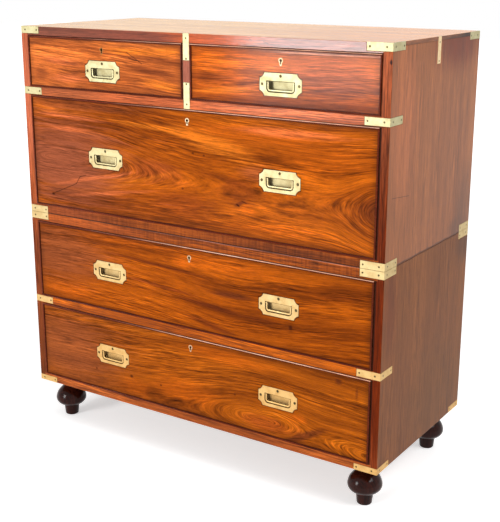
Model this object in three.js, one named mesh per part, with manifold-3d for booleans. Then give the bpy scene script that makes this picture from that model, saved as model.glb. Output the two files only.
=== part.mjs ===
// Campaign chest in two cases that lift apart, with five drawers, on four turned feet.
// Millimetres, X to the right, Y to the back, Z up.
// The origin is on the floor, under the middle of the chest.

import * as THREE from 'three';
import { mergeVertices } from 'three/addons/utils/BufferGeometryUtils.js';
import Module from 'manifold-3d';

const wasm = await Module();
wasm.setup();

// Both cases
const case_width = 990;
const case_depth = 448;
const side_thickness = 20.5;
const back_thickness = 10;
const back_rabbet = 10;
const housing_depth = 6;
const glue_gap = 0.2;
const overrun = 5;

// Lower case, from its underside up
const base_board = 20;
const base_opening = 197;
const lower_rail_board = 20.5;
const middle_opening = 199;
const lower_top_board = 21.5;
const seam_gap = 0.5;

// Upper case, from its underside up
const upper_bottom_board = 21;
const deep_opening = 273;
const upper_rail_board = 20.5;
const short_opening = 122.5;
const top_board = 21;
const top_lap = 8.5;
const partition_board = 19.5;
const partition_housing = 4;

// Pegs that keep the upper case on the lower one
const peg_radius = 7;
const peg_height = 12;
const peg_side_inset = 60;
const peg_front_inset = 70;
const peg_clearance = 0.5;

// Turned feet
const foot_height = 105;
const foot_inset = 54;
const neck_radius = 17;
const neck_height = 22;
const bun_radius = 39.5;
const bun_height = 54;
const stem_top_radius = 20;
const stem_foot_radius = 17.5;
const foot_rounding = 4;
const spigot_radius = 14;
const spigot_length = 14;
const spigot_clearance = 0.5;

// Drawers
const front_board = 20;
const front_gap = 1.2;
const run_gap = 0.3;
const bead_width = 3.4;
const bead_proud = 3;
const bead_rounding = 1.4;
const box_side = 11;
const box_back = 10;
const box_bottom = 7;
const box_bottom_rise = 8;
const box_top_drop = 5;
const box_back_drop = 8;
const rear_room = 14;
const bottom_tongue = 5;
const tail_length = 13;
const tail_width = 22;
const tail_splay = 3;
const tail_pitch = 42;
const stop_width = 42;
const stop_depth = 18;
const stop_height = 5;
const stop_side_inset = 90;

// Recessed handles
const plate_width = 102.5;
const plate_height = 48.5;
const plate_thickness = 2;
const plate_notch = 11.5;
const plate_notch_radius = 16;
const recess_width = 68;
const recess_height = 22.5;
const recess_rise = 8.5;
const recess_corner = 8;
const recess_depth = 11.5;
const cup_wall = 1.3;
const inlet_gap = 0.3;
const bail_gap = 1;
const bail_bar = 4.2;
const bail_rounding = 1.2;
const bail_setback = 0.3;
const pivot_drop = 2.9;
const pin_radius = 1.4;
const pin_clearance = 0.3;
const short_handle_drop = 14;
const plate_screw_side_inset = 6.25;
const plate_screw_top_inset = 6.75;
const screw_radius = 1.8;

// Locks
const key_drop = 28;
const key_post_radius = 2.4;
const key_slot_width = 2.8;
const key_slot_length = 8;
const escutcheon_head = 11.2;
const escutcheon_tail = 10.8;
const escutcheon_tail_width = 5.6;
const escutcheon_depth = 3;
const bolt_width = 24;
const bolt_thickness = 6;
const bolt_length = 30;
const bolt_clearance = 0.3;
const bolt_travel = 7;
const bolt_notch_width = 10;
const bolt_notch_height = 9;
const strike_clearance = 1;

// Let-in brass straps
const strap_length = 56.5;
const strap_width = 17;
const base_strap_width = 14.5;
const strap_thickness = 2;
const strap_screw_near = 13;
const strap_screw_far = 50;
const strap_gap = 0.3;
const side_strap_width = 16;
const partition_strap_width = 16.5;
const partition_strap_length = 58;

// Counts of facets
const round_facets = 16;
const pin_facets = 8;
const hole_facets = 8;
const foot_facets = 28;
const arc_facets = 2;
const bead_facets = 2;
const bail_facets = 2;
const weld_distance = 0.0001;

// Sizes that follow
const half_width = case_width / 2;
const inner_half = half_width - side_thickness;
const board_half = inner_half + housing_depth - glue_gap;
const board_back = case_depth - back_thickness - glue_gap;
const lower_rail_low = base_board + base_opening;
const lower_rail_high = lower_rail_low + lower_rail_board;
const lower_top_low = lower_rail_high + middle_opening;
const lower_height = lower_top_low + lower_top_board;
const upper_rail_low = upper_bottom_board + deep_opening;
const upper_rail_high = upper_rail_low + upper_rail_board;
const upper_top_low = upper_rail_high + short_opening;
const upper_height = upper_top_low + top_board;
const short_width = inner_half - partition_board / 2;
const short_centre = (inner_half + partition_board / 2) / 2;
const left_and_right = { left: -1, right: 1 };

// Finishes
const finishes = {
  front_wood: { color: 0xa85524, roughness: 0.32, metalness: 0 },
  case_wood: { color: 0x8a4a30, roughness: 0.4, metalness: 0 },
  inner_wood: { color: 0xc39a63, roughness: 0.75, metalness: 0 },
  foot_wood: { color: 0x2c1712, roughness: 0.22, metalness: 0 },
  brass: { color: 0xd9c58a, roughness: 0.3, metalness: 1 },
  iron: { color: 0x6f6a62, roughness: 0.5, metalness: 1 },
};

// A closed mesh as a solid that can be cut and joined
function solid(geometry) {
  const bare = geometry.clone();
  bare.deleteAttribute('normal');
  bare.deleteAttribute('uv');
  const welded = mergeVertices(bare, weld_distance);
  return new wasm.Manifold(new wasm.Mesh({
    numProp: 3,
    vertProperties: Float32Array.from(welded.attributes.position.array),
    triVerts: Uint32Array.from(welded.index.array),
  }));
}

// A named piece, placed at its own origin
function piece(name, body, finish, origin = [0, 0, 0]) {
  const mesh = body.getMesh();
  const geometry = new THREE.BufferGeometry();
  geometry.setAttribute('position', new THREE.BufferAttribute(Float32Array.from(mesh.vertProperties), 3));
  geometry.setIndex(new THREE.BufferAttribute(Uint32Array.from(mesh.triVerts), 1));
  geometry.translate(-origin[0], -origin[1], -origin[2]);
  geometry.computeVertexNormals();
  const made = new THREE.Mesh(geometry, new THREE.MeshStandardMaterial({ ...finishes[finish] }));
  made.name = name;
  made.position.set(...origin);
  return made;
}

// A box between two corners
function block([x0, x1], [y0, y1], [z0, z1]) {
  const geometry = new THREE.BoxGeometry(Math.abs(x1 - x0), Math.abs(y1 - y0), Math.abs(z1 - z0));
  geometry.translate((x0 + x1) / 2, (y0 + y1) / 2, (z0 + z1) / 2);
  return solid(geometry);
}

// A closed outline from points
function outline(points) {
  return new THREE.Shape(points.map(([x, y]) => new THREE.Vector2(x, y)));
}

// An outline seen from the front, as thick as from y0 back to y1
function front_slab(shape, y0, y1, bevel = {}) {
  const settings = { depth: y1 - y0, bevelEnabled: false, curveSegments: arc_facets, steps: 1, ...bevel };
  const geometry = new THREE.ExtrudeGeometry(shape, settings);
  geometry.rotateX(Math.PI / 2);
  geometry.translate(0, y1, 0);
  return solid(geometry);
}

// Settings that round the edges of a slab beyond its two faces
function rounding(radius, facets) {
  return {
    bevelEnabled: true,
    bevelThickness: radius,
    bevelSize: radius,
    bevelOffset: -radius,
    bevelSegments: facets,
  };
}

// An outline seen from above, from z0 up to z1
function plan_slab(shape, z0, z1) {
  const geometry = new THREE.ExtrudeGeometry(shape, { depth: z1 - z0, bevelEnabled: false, steps: 1 });
  geometry.translate(0, 0, z0);
  return solid(geometry);
}

// A round bar along one axis, between two places on it
function bar(axis, radius, from, to, [a, b], facets = round_facets) {
  const geometry = new THREE.CylinderGeometry(radius, radius, Math.abs(to - from), facets);
  const middle = (from + to) / 2;
  if (axis === 'x') geometry.rotateZ(Math.PI / 2).translate(middle, a, b);
  if (axis === 'y') geometry.translate(a, middle, b);
  if (axis === 'z') geometry.rotateX(Math.PI / 2).translate(a, b, middle);
  return solid(geometry);
}

// Brass straps that turn round a corner of the case.
// The outline is drawn from the corner; a cutter for the strap's bed is a little larger
// and runs out past both faces.
function corner_outline(side, end, gap, past) {
  const reach = strap_length + gap;
  const thick = strap_thickness + gap;
  return outline([
    [side * past, -end * past],
    [-side * reach, -end * past],
    [-side * reach, end * thick],
    [-side * thick, end * thick],
    [-side * thick, end * reach],
    [side * past, end * reach],
  ]);
}

function strap_bed(side, end, low, high) {
  const bed = plan_slab(corner_outline(side, end, strap_gap, overrun), low - strap_gap, high + strap_gap);
  return bed.translate([side * half_width, end > 0 ? 0 : case_depth, 0]);
}

function corner_strap(name, side, low, high) {
  let body = plan_slab(corner_outline(side, 1, 0, 0), 0, high - low);
  const middle = (high - low) / 2;
  for (const away of [strap_screw_near, strap_screw_far]) {
    const from = -overrun;
    const to = strap_thickness + overrun;
    body = body.subtract(bar('y', screw_radius, from, to, [-side * away, middle], hole_facets));
    body = body.subtract(bar('x', screw_radius, -side * from, -side * to, [away, middle], hole_facets));
  }
  const made = piece(name, body, 'brass');
  made.position.set(side * half_width, 0, low);
  return made;
}

// Heights of the straps in each case; the back has none at the rails
const upper_straps = {
  top: { low: upper_height - strap_width, high: upper_height, back: true },
  upper_rail: {
    low: (upper_rail_low + upper_rail_high - strap_width) / 2,
    high: (upper_rail_low + upper_rail_high + strap_width) / 2,
    back: false,
  },
  upper_seam: { low: 0, high: strap_width, back: true },
};
const lower_straps = {
  lower_seam: { low: lower_height - strap_width, high: lower_height, back: true },
  lower_rail: {
    low: (lower_rail_low + lower_rail_high - strap_width) / 2,
    high: (lower_rail_low + lower_rail_high + strap_width) / 2,
    back: false,
  },
  base: { low: 0, high: base_strap_width, back: true },
};

function cut_strap_beds(body, straps) {
  let cut = body;
  for (const { low, high, back } of Object.values(straps)) {
    for (const side of Object.values(left_and_right)) {
      cut = cut.subtract(strap_bed(side, 1, low, high));
      if (back) cut = cut.subtract(strap_bed(side, -1, low, high));
    }
  }
  return cut;
}

function add_straps(group, straps) {
  for (const [place, { low, high }] of Object.entries(straps)) {
    for (const [word, side] of Object.entries(left_and_right)) {
      group.add(corner_strap(`${place}_strap_${word}`, side, low, high));
    }
  }
}

// Beds for the straight straps: across the partition's two ends and over each side's top joint
function straight_strap_beds() {
  const bed_depth = strap_thickness + strap_gap;
  const half_bed = partition_strap_width / 2 + strap_gap;
  const half_side_bed = side_strap_width / 2 + strap_gap;
  const rail_strap_low = upper_rail_low;
  const beds = [
    block([-half_bed, half_bed], [-overrun, bed_depth],
      [upper_height - partition_strap_length - strap_gap, upper_height + overrun]),
    block([-half_bed, half_bed], [-overrun, bed_depth],
      [rail_strap_low, rail_strap_low + partition_strap_length + strap_gap]),
  ];
  for (const side of Object.values(left_and_right)) {
    beds.push(block([side * (half_width - bed_depth), side * (half_width + overrun)],
      [case_depth / 2 - half_side_bed, case_depth / 2 + half_side_bed],
      [upper_height - strap_length - strap_gap, upper_height + overrun]));
  }
  return beds;
}

function cut_all(body, cutters) {
  return cutters.reduce((left, cutter) => left.subtract(cutter), body);
}

// A side board: rabbets at its back and ends, housings for the rail
function side_board(side, high, housings) {
  const inner = side * inner_half;
  let body = block([inner, side * half_width], [0, case_depth], [0, high]);
  const rabbet = [side * (inner_half - overrun), side * (inner_half + back_rabbet)];
  body = body.subtract(block(rabbet, [board_back, case_depth + overrun], [-overrun, high + overrun]));
  const housing = [side * (inner_half - overrun), side * (inner_half + housing_depth)];
  for (const [low, top] of housings) {
    body = body.subtract(block(housing, [-overrun, case_depth + overrun], [low, top]));
  }
  return body;
}

// A board across the case, held in the housings of both sides
function cross_board(low, high) {
  return block([-board_half, board_half], [0, board_back], [low, high]);
}

function back_panel(high) {
  const half = inner_half + back_rabbet - glue_gap;
  return block([-half, half], [case_depth - back_thickness, case_depth], [0, high]);
}

// Two small blocks on a board that stop a closing drawer flush
function drawer_stops(centre, width, floor) {
  const front = front_board + run_gap;
  return [-1, 1].map((side) => {
    const middle = centre + side * (width / 2 - stop_side_inset);
    return block([middle - stop_width / 2, middle + stop_width / 2], [front, front + stop_depth],
      [floor - stop_height, floor + stop_height]);
  });
}

// The mortise that a lock's bolt rises into
function strike(centre, ceiling) {
  const half = bolt_width / 2 + strike_clearance;
  const thick = bolt_thickness / 2 + strike_clearance;
  const middle = front_board / 2;
  return block([centre - half, centre + half], [middle - thick, middle + thick],
    [ceiling - overrun, ceiling + bolt_travel + strike_clearance]);
}

// Where the four pegs stand
function peg_places() {
  const across = half_width - peg_side_inset;
  const along = [peg_front_inset, case_depth - peg_front_inset];
  return [-across, across].flatMap((x) => along.map((y) => [x, y]));
}

function join_all(body, others) {
  return others.reduce((left, other) => left.add(other), body);
}

// Upper case
function upper_case() {
  const group = new THREE.Group();
  const side_top = upper_height - top_lap - glue_gap;
  const beds = straight_strap_beds();
  const housings = [
    [-overrun, upper_bottom_board + glue_gap],
    [upper_rail_low - glue_gap, upper_rail_high + glue_gap],
  ];
  for (const [word, side] of Object.entries(left_and_right)) {
    const board = cut_all(cut_strap_beds(side_board(side, side_top, housings), upper_straps), beds);
    group.add(piece(`upper_side_${word}`, board, 'case_wood', [side * half_width, 0, 0]));
  }

  const lap_low = upper_height - top_lap;
  const cover = block([-half_width, half_width], [0, case_depth], [lap_low, upper_height]);
  const inner_top = inner_half - glue_gap;
  const under = block([-inner_top, inner_top], [0, board_back], [upper_top_low, lap_low + top_lap / 2]);
  const slot_half = partition_board / 2 + glue_gap;
  const slot = block([-slot_half, slot_half], [-overrun, case_depth],
    [upper_top_low - overrun, upper_top_low + partition_housing + glue_gap]);
  const short_strikes = [-1, 1].map((side) => strike(side * short_centre, upper_top_low));
  const top = cut_all(cut_strap_beds(cover.add(under), upper_straps), [...beds, slot, ...short_strikes]);
  group.add(piece('upper_top', top, 'case_wood', [0, 0, upper_height]));

  const peg_holes = peg_places().map((place) => (
    bar('z', peg_radius + peg_clearance, -overrun, peg_height + peg_clearance, place)));
  const deep_stops = drawer_stops(0, 2 * inner_half, upper_bottom_board);
  const bottom = cut_all(cut_strap_beds(cross_board(0, upper_bottom_board), upper_straps), peg_holes);
  group.add(piece('upper_bottom', join_all(bottom, deep_stops), 'case_wood'));

  const rail_slot = block([-slot_half, slot_half], [-overrun, case_depth],
    [upper_rail_high - partition_housing - glue_gap, upper_rail_high + overrun]);
  const short_stops = [-1, 1].flatMap((side) => (
    drawer_stops(side * short_centre, short_width, upper_rail_high)));
  const rail = cut_all(cut_strap_beds(cross_board(upper_rail_low, upper_rail_high), upper_straps),
    [...beds, rail_slot, strike(0, upper_rail_low)]);
  group.add(piece('upper_rail', join_all(rail, short_stops), 'case_wood', [0, 0, upper_rail_low]));

  const partition = block([-partition_board / 2, partition_board / 2], [0, board_back],
    [upper_rail_high - partition_housing, upper_top_low + partition_housing]);
  group.add(piece('upper_partition', cut_all(partition, beds), 'case_wood', [0, 0, upper_rail_high]));

  const back = cut_strap_beds(back_panel(side_top), upper_straps);
  group.add(piece('upper_back', back, 'inner_wood', [0, case_depth, 0]));
  add_straps(group, upper_straps);
  return group;
}

// Lower case
function lower_case() {
  const group = new THREE.Group();
  const housings = [
    [-overrun, base_board + glue_gap],
    [lower_rail_low - glue_gap, lower_rail_high + glue_gap],
    [lower_top_low - glue_gap, lower_height + overrun],
  ];
  for (const [word, side] of Object.entries(left_and_right)) {
    const board = cut_strap_beds(side_board(side, lower_height, housings), lower_straps);
    group.add(piece(`lower_side_${word}`, board, 'case_wood', [side * half_width, 0, 0]));
  }

  const pegs = peg_places().map((place) => (
    bar('z', peg_radius, lower_height - overrun, lower_height + peg_height, place)));
  const top = cut_strap_beds(cross_board(lower_top_low, lower_height), lower_straps);
  const lower_top = join_all(top.subtract(strike(0, lower_top_low)), pegs);
  group.add(piece('lower_top', lower_top, 'case_wood', [0, 0, lower_height]));

  const rail = cut_strap_beds(cross_board(lower_rail_low, lower_rail_high), lower_straps);
  const middle_stops = drawer_stops(0, 2 * inner_half, lower_rail_high);
  const lower_rail = join_all(rail.subtract(strike(0, lower_rail_low)), middle_stops);
  group.add(piece('lower_rail', lower_rail, 'case_wood', [0, 0, lower_rail_low]));

  const sockets = foot_places().map(({ at }) => (
    bar('z', spigot_radius + spigot_clearance, -overrun, spigot_length + spigot_clearance, at)));
  const base = cut_all(cut_strap_beds(cross_board(0, base_board), lower_straps), sockets);
  const base_stops = drawer_stops(0, 2 * inner_half, base_board);
  group.add(piece('lower_bottom', join_all(base, base_stops), 'case_wood'));

  const back = cut_strap_beds(back_panel(lower_height), lower_straps);
  group.add(piece('lower_back', back, 'inner_wood', [0, case_depth, 0]));
  add_straps(group, lower_straps);
  for (const { name, at } of foot_places()) {
    const made = foot(name);
    made.position.set(at[0], at[1], 0);
    group.add(made);
  }
  return group;
}

// Feet
function foot_places() {
  const across = half_width - foot_inset;
  return [
    { name: 'foot_front_left', at: [-across, foot_inset] },
    { name: 'foot_front_right', at: [across, foot_inset] },
    { name: 'foot_back_left', at: [-across, case_depth - foot_inset] },
    { name: 'foot_back_right', at: [across, case_depth - foot_inset] },
  ];
}

// The bun's half outline, as shares of its greatest radius against its height from the top
const bun_shares = [
  [0.5, 0.04], [0.68, 0.16], [0.88, 0.34], [0.98, 0.53],
  [1, 0.66], [0.95, 0.79], [0.81, 0.91], [0.67, 0.98],
];

function foot(name) {
  const bun_top = -neck_height;
  const stem_top = bun_top - bun_height;
  const floor = -foot_height;
  const profile = [
    [0, spigot_length],
    [spigot_radius, spigot_length],
    [spigot_radius, -glue_gap],
    [neck_radius, -glue_gap],
    [neck_radius, bun_top],
    ...bun_shares.map(([out, down]) => [bun_radius * out, bun_top - bun_height * down]),
    [stem_top_radius, stem_top],
    [stem_foot_radius, floor + foot_rounding],
    [stem_foot_radius - foot_rounding * (1 - Math.SQRT1_2), floor + foot_rounding * (1 - Math.SQRT1_2)],
    [stem_foot_radius - foot_rounding, floor],
    [0, floor],
  ];
  const points = profile.reverse().map(([radius, height]) => new THREE.Vector2(radius, height));
  const turned = new THREE.LatheGeometry(points, foot_facets);
  turned.rotateX(Math.PI / 2);
  return piece(name, solid(turned), 'foot_wood');
}

// Drawers
function keyhole(middle) {
  const low = middle - key_slot_length;
  const half_slot = key_slot_width / 2;
  const slot = outline([[-half_slot, low], [half_slot, low], [half_slot, middle], [-half_slot, middle]]);
  const tail_half = escutcheon_tail_width / 2;
  const tail_end = middle - escutcheon_tail + tail_half;
  const tail = outline([[-tail_half, tail_end], [tail_half, tail_end], [tail_half, middle], [-tail_half, middle]]);
  const through = front_board + overrun;
  return [
    front_slab(slot, -overrun, through),
    bar('y', key_post_radius, -overrun, through, [0, middle], pin_facets),
    front_slab(tail, -overrun, escutcheon_depth),
    bar('y', tail_half, -overrun, escutcheon_depth, [0, tail_end], pin_facets),
    bar('y', escutcheon_head / 2, -overrun, escutcheon_depth, [0, middle], pin_facets),
  ];
}

function bolt_pocket(top) {
  const half = bolt_width / 2 + bolt_clearance;
  const thick = bolt_thickness / 2 + bolt_clearance;
  const middle = front_board / 2;
  const floor = top - bolt_length - 2 * bolt_clearance;
  return block([-half, half], [middle - thick, middle + thick], [floor, top + overrun]);
}

function lock_bolt(name, top) {
  const head = top - bolt_clearance;
  const foot_end = head - bolt_length;
  const middle = front_board / 2;
  const body = block([-bolt_width / 2, bolt_width / 2],
    [middle - bolt_thickness / 2, middle + bolt_thickness / 2], [foot_end, head]);
  const notch = block([-bolt_notch_width / 2, bolt_notch_width / 2], [-overrun, front_board + overrun],
    [foot_end - overrun, foot_end + bolt_notch_height]);
  return piece(name, body.subtract(notch), 'iron', [0, middle, foot_end]);
}

// Dovetails on a drawer side, and with a gap the sockets that they fill
function dovetails(inner, outer, low, high, gap) {
  const count = Math.max(2, Math.round((high - low) / tail_pitch));
  const pitch = (high - low) / count;
  const root = tail_width / 2 - tail_splay + gap;
  const tip = tail_width / 2 + gap;
  const settings = { depth: Math.abs(outer - inner), bevelEnabled: false, steps: 1 };
  const tails = [];
  for (let index = 0; index < count; index += 1) {
    const middle = low + pitch * (index + 1 / 2);
    const shape = outline([
      [front_board - tail_length - gap, middle - tip],
      [front_board + box_side, middle - root],
      [front_board + box_side, middle + root],
      [front_board - tail_length - gap, middle + tip],
    ]);
    const geometry = new THREE.ExtrudeGeometry(shape, settings);
    geometry.rotateX(Math.PI / 2).rotateZ(Math.PI / 2);
    geometry.translate(Math.min(inner, outer), 0, 0);
    tails.push(solid(geometry));
  }
  return tails;
}

function drawer(name, width, height, handles, handle_height) {
  const group = new THREE.Group();
  const front_half = width / 2 - front_gap;
  const top = height - front_gap;
  const box_half = width / 2 - front_gap;
  const box_top = top - box_top_drop;
  const box_end = board_back - rear_room;
  const inside = box_half - box_side;
  const bottom_low = run_gap + box_bottom_rise;
  const bottom_high = bottom_low + box_bottom;

  // The front, with a bead standing proud all round its edge
  const face = block([-front_half, front_half], [0, front_board], [run_gap, top]);
  const rim = outline([[-front_half, run_gap], [front_half, run_gap], [front_half, top],
    [-front_half, top]]);
  const field_half = front_half - bead_width;
  const field_low = run_gap + bead_width;
  const field_high = top - bead_width;
  const field = [[-field_half, field_low], [-field_half, field_high], [field_half, field_high],
    [field_half, field_low]];
  rim.holes.push(new THREE.Path(field.map(([x, z]) => new THREE.Vector2(x, z))));
  const bead_front = bead_rounding - bead_proud;
  const bead = front_slab(rim, bead_front, front_board / 2, rounding(bead_rounding, bead_facets));
  const cutters = [...keyhole(top - key_drop + key_slot_length / 2), bolt_pocket(top)];
  for (const side of [-1, 1]) {
    const edge = side * (box_half + overrun);
    cutters.push(...dovetails(side * (inside - glue_gap), edge, run_gap, box_top, glue_gap));
  }
  cutters.push(block([-inside, inside], [front_board - bottom_tongue - glue_gap, front_board + overrun],
    [bottom_low - glue_gap, bottom_high + glue_gap]));
  for (const x of handles) cutters.push(...handle_bed(x, handle_height));
  group.add(piece(`${name}_front`, cut_all(face.add(bead), cutters), 'front_wood', [0, 0, run_gap]));

  // The box behind it: two sides with dovetails, a back and a bottom
  const box_front = front_board + glue_gap;
  const across = [-inside, inside];
  const hollow = block(across, [box_front - overrun, box_end - box_back], [bottom_high, box_top + overrun]);
  const under = block(across, [box_front - overrun, box_end + overrun], [run_gap - overrun, bottom_low]);
  const over_back = block(across, [box_end - box_back - overrun, box_end + overrun],
    [box_top - box_back_drop, box_top + overrun]);
  const boards = block([-box_half, box_half], [box_front, box_end], [run_gap, box_top]);
  let box = cut_all(boards, [hollow, under, over_back]);
  for (const side of [-1, 1]) {
    box = join_all(box, dovetails(side * inside, side * box_half, run_gap, box_top, 0));
  }
  const tongue_half = inside - glue_gap;
  box = box.add(block([-tongue_half, tongue_half], [front_board - bottom_tongue, box_front + box_back],
    [bottom_low, bottom_high]));
  group.add(piece(`${name}_box`, box, 'inner_wood', [0, box_front, run_gap]));
  group.add(lock_bolt(`${name}_lock_bolt`, top));
  return group;
}

// Handles
function plate_outline(gap) {
  const x = plate_width / 2 + gap;
  const z = plate_height / 2 + gap;
  const notch = plate_notch;
  const radius = plate_notch_radius;
  const out = (Math.sqrt(2 * radius ** 2 - notch ** 2) - notch) / 2;
  const lean = Math.atan2(out, notch + out);
  const shape = new THREE.Shape();
  shape.moveTo(x - notch, -z);
  shape.absarc(x + out, -z - out, radius, Math.PI - lean, Math.PI / 2 + lean, true);
  shape.lineTo(x, z - notch);
  shape.absarc(x + out, z + out, radius, -Math.PI / 2 - lean, -Math.PI + lean, true);
  shape.lineTo(-x + notch, z);
  shape.absarc(-x - out, z + out, radius, -lean, -Math.PI / 2 + lean, true);
  shape.lineTo(-x, -z + notch);
  shape.absarc(-x - out, -z - out, radius, Math.PI / 2 - lean, lean, true);
  return shape;
}

// The recess has square corners above and round ones below
const recess_low = -plate_height / 2 + recess_rise;
const recess_high = recess_low + recess_height;

function recess_outline(grow) {
  const half = recess_width / 2 + grow;
  const low = recess_low - grow;
  const radius = recess_corner + grow;
  const shape = new THREE.Shape();
  shape.moveTo(half, recess_high + grow);
  shape.lineTo(-half, recess_high + grow);
  shape.absarc(-half + radius, low + radius, radius, Math.PI, 3 * Math.PI / 2, false);
  shape.absarc(half - radius, low + radius, radius, 3 * Math.PI / 2, 2 * Math.PI, false);
  return shape;
}

// The bed in the drawer front for the plate and for the cup behind it
function handle_bed(x, z) {
  const plate = front_slab(plate_outline(inlet_gap), -overrun, plate_thickness + inlet_gap);
  const cup = front_slab(recess_outline(cup_wall + inlet_gap), -overrun, recess_depth + cup_wall + inlet_gap);
  return [plate.translate([x, 0, z]), cup.translate([x, 0, z])];
}

const pivot_height = recess_high - pivot_drop;
const pivot_depth = bail_setback + bail_bar / 2;

function handle_plate(name) {
  let body = front_slab(plate_outline(0), 0, plate_thickness);
  body = body.add(front_slab(recess_outline(cup_wall), plate_thickness / 2, recess_depth + cup_wall));
  body = body.subtract(front_slab(recess_outline(0), -overrun, recess_depth));
  const wall = recess_width / 2 + cup_wall + pin_clearance;
  const pivot = [pivot_depth, pivot_height];
  body = body.subtract(bar('x', pin_radius + pin_clearance, -wall, wall, pivot, pin_facets));
  const screw_out = plate_width / 2 - plate_screw_side_inset;
  const screw_up = plate_height / 2 - plate_screw_top_inset;
  for (const [x, z] of [[-screw_out, 0], [screw_out, 0], [0, screw_up]]) {
    body = body.subtract(bar('y', screw_radius, -overrun, plate_thickness + overrun, [x, z], hole_facets));
  }
  return piece(name, body, 'brass');
}

// The bail: a round-cornered U that hangs in the recess from two pins
function handle_bail(name) {
  const half = recess_width / 2 - bail_gap;
  const low = recess_low + bail_gap - pivot_height;
  const high = bail_bar / 2;
  const outer = recess_corner - bail_gap;
  const inner = outer - bail_bar + bail_rounding;
  const shape = new THREE.Shape();
  shape.moveTo(half, high);
  shape.lineTo(half - bail_bar, high);
  shape.absarc(half - bail_bar - inner, low + bail_bar + inner, inner, 0, -Math.PI / 2, true);
  shape.absarc(-half + bail_bar + inner, low + bail_bar + inner, inner, 3 * Math.PI / 2, Math.PI, true);
  shape.lineTo(-half + bail_bar, high);
  shape.lineTo(-half, high);
  shape.absarc(-half + outer, low + outer, outer, Math.PI, 3 * Math.PI / 2, false);
  shape.absarc(half - outer, low + outer, outer, 3 * Math.PI / 2, 2 * Math.PI, false);
  const flat = bail_bar / 2 - bail_rounding;
  let body = front_slab(shape, -flat, flat, rounding(bail_rounding, bail_facets));
  const pin_end = recess_width / 2 + cup_wall;
  for (const side of [-1, 1]) {
    body = body.add(bar('x', pin_radius, side * (half - bail_bar / 2), side * pin_end, [0, 0], pin_facets));
  }
  const made = piece(name, body, 'brass');
  made.position.set(0, pivot_depth, pivot_height);
  return made;
}

function add_handle(group, name, x, z) {
  const handle = new THREE.Group();
  handle.add(handle_plate(`${name}_plate`));
  handle.add(handle_bail(`${name}_bail`));
  handle.position.set(x, 0, z);
  group.add(handle);
}

// Putting the drawers in: the short ones have one handle, the wide ones two
function add_short_drawer(owner, name, side) {
  const handle_height = short_opening / 2 - short_handle_drop;
  const group = drawer(name, short_width, short_opening, [0], handle_height);
  add_handle(group, `${name}_handle`, 0, handle_height);
  group.position.set(side * short_centre, 0, upper_rail_high);
  owner.add(group);
}

function add_wide_drawer(owner, name, height, floor) {
  const group = drawer(name, 2 * inner_half, height, [-short_centre, short_centre], height / 2);
  for (const [word, side] of Object.entries(left_and_right)) {
    add_handle(group, `${name}_${word}_handle`, side * short_centre, height / 2);
  }
  group.position.set(0, 0, floor);
  owner.add(group);
}

const lower = lower_case();
add_wide_drawer(lower, 'base', base_opening, base_board);
add_wide_drawer(lower, 'middle', middle_opening, lower_rail_high);
lower.position.set(0, 0, foot_height);

const upper = upper_case();
add_wide_drawer(upper, 'deep', deep_opening, upper_bottom_board);
add_short_drawer(upper, 'short_left', -1);
add_short_drawer(upper, 'short_right', 1);
upper.position.set(0, 0, foot_height + lower_height + seam_gap);

const chest = new THREE.Group();
chest.add(lower, upper);
chest.position.set(0, -(case_depth - bead_proud) / 2, 0);

export default chest;
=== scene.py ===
"""Campaign chest: two mahogany cases with brass-bound corners, five drawers and four turned feet.

Metres, X to the right, Y to the back, Z up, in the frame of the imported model.
The sections follow the chest as it is put together, from the room it stands in to the screws.
"""
import math

import bmesh
import bpy
from mathutils import Matrix, Vector


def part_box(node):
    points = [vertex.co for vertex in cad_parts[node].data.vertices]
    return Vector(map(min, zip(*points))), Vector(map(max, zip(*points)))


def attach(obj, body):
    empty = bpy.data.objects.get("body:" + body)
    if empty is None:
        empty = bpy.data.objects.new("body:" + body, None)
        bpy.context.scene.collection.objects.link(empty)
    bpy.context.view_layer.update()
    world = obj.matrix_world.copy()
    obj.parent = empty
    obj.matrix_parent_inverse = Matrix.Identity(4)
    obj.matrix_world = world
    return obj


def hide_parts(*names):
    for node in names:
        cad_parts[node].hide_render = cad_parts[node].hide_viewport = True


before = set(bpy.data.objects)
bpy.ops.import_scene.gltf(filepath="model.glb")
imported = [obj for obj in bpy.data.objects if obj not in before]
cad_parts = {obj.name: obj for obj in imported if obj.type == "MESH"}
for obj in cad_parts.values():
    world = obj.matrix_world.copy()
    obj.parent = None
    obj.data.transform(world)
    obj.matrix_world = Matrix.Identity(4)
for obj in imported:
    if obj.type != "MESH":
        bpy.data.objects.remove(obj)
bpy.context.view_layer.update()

# The room: a pale floor and soft studio light from the front left, from above and from the right.
# The camera stands to the right of the chest, a little above it. None of this is part of it.
camera_place = (1.37253, -2.06147, 1.16864)
camera_azimuth = math.radians(33.234)
camera_fall = math.radians(16.073)
camera_roll = math.radians(0.085)
focal_pixels = 1035.9
photo_height_pixels = 522


def placed(name, data):
    """A new thing in the scene, at the origin."""
    thing = bpy.data.objects.new(name, data)
    bpy.context.scene.collection.objects.link(thing)
    return thing


camera = placed("camera", bpy.data.cameras.new("camera"))
camera.data.lens = focal_pixels * camera.data.sensor_width / photo_height_pixels
aim = Matrix.Rotation(camera_azimuth, 4, "Z") @ Matrix.Rotation(math.pi / 2 - camera_fall, 4, "X")
camera.matrix_world = Matrix.Translation(camera_place) @ aim @ Matrix.Rotation(camera_roll, 4, "Z")
bpy.context.scene.camera = camera
bpy.context.scene.view_settings.view_transform = "Standard"


def put(tree, kind, feeds=None, **settings):
    """One node with its settings. Each feed is a plain value or another node's output."""
    made = tree.nodes.new(kind)
    for setting, value in settings.items():
        setattr(made, setting, value)
    for socket, value in (feeds or {}).items():
        if isinstance(value, bpy.types.NodeSocket):
            tree.links.new(value, made.inputs[socket])
        else:
            made.inputs[socket].default_value = value
    return made


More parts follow.
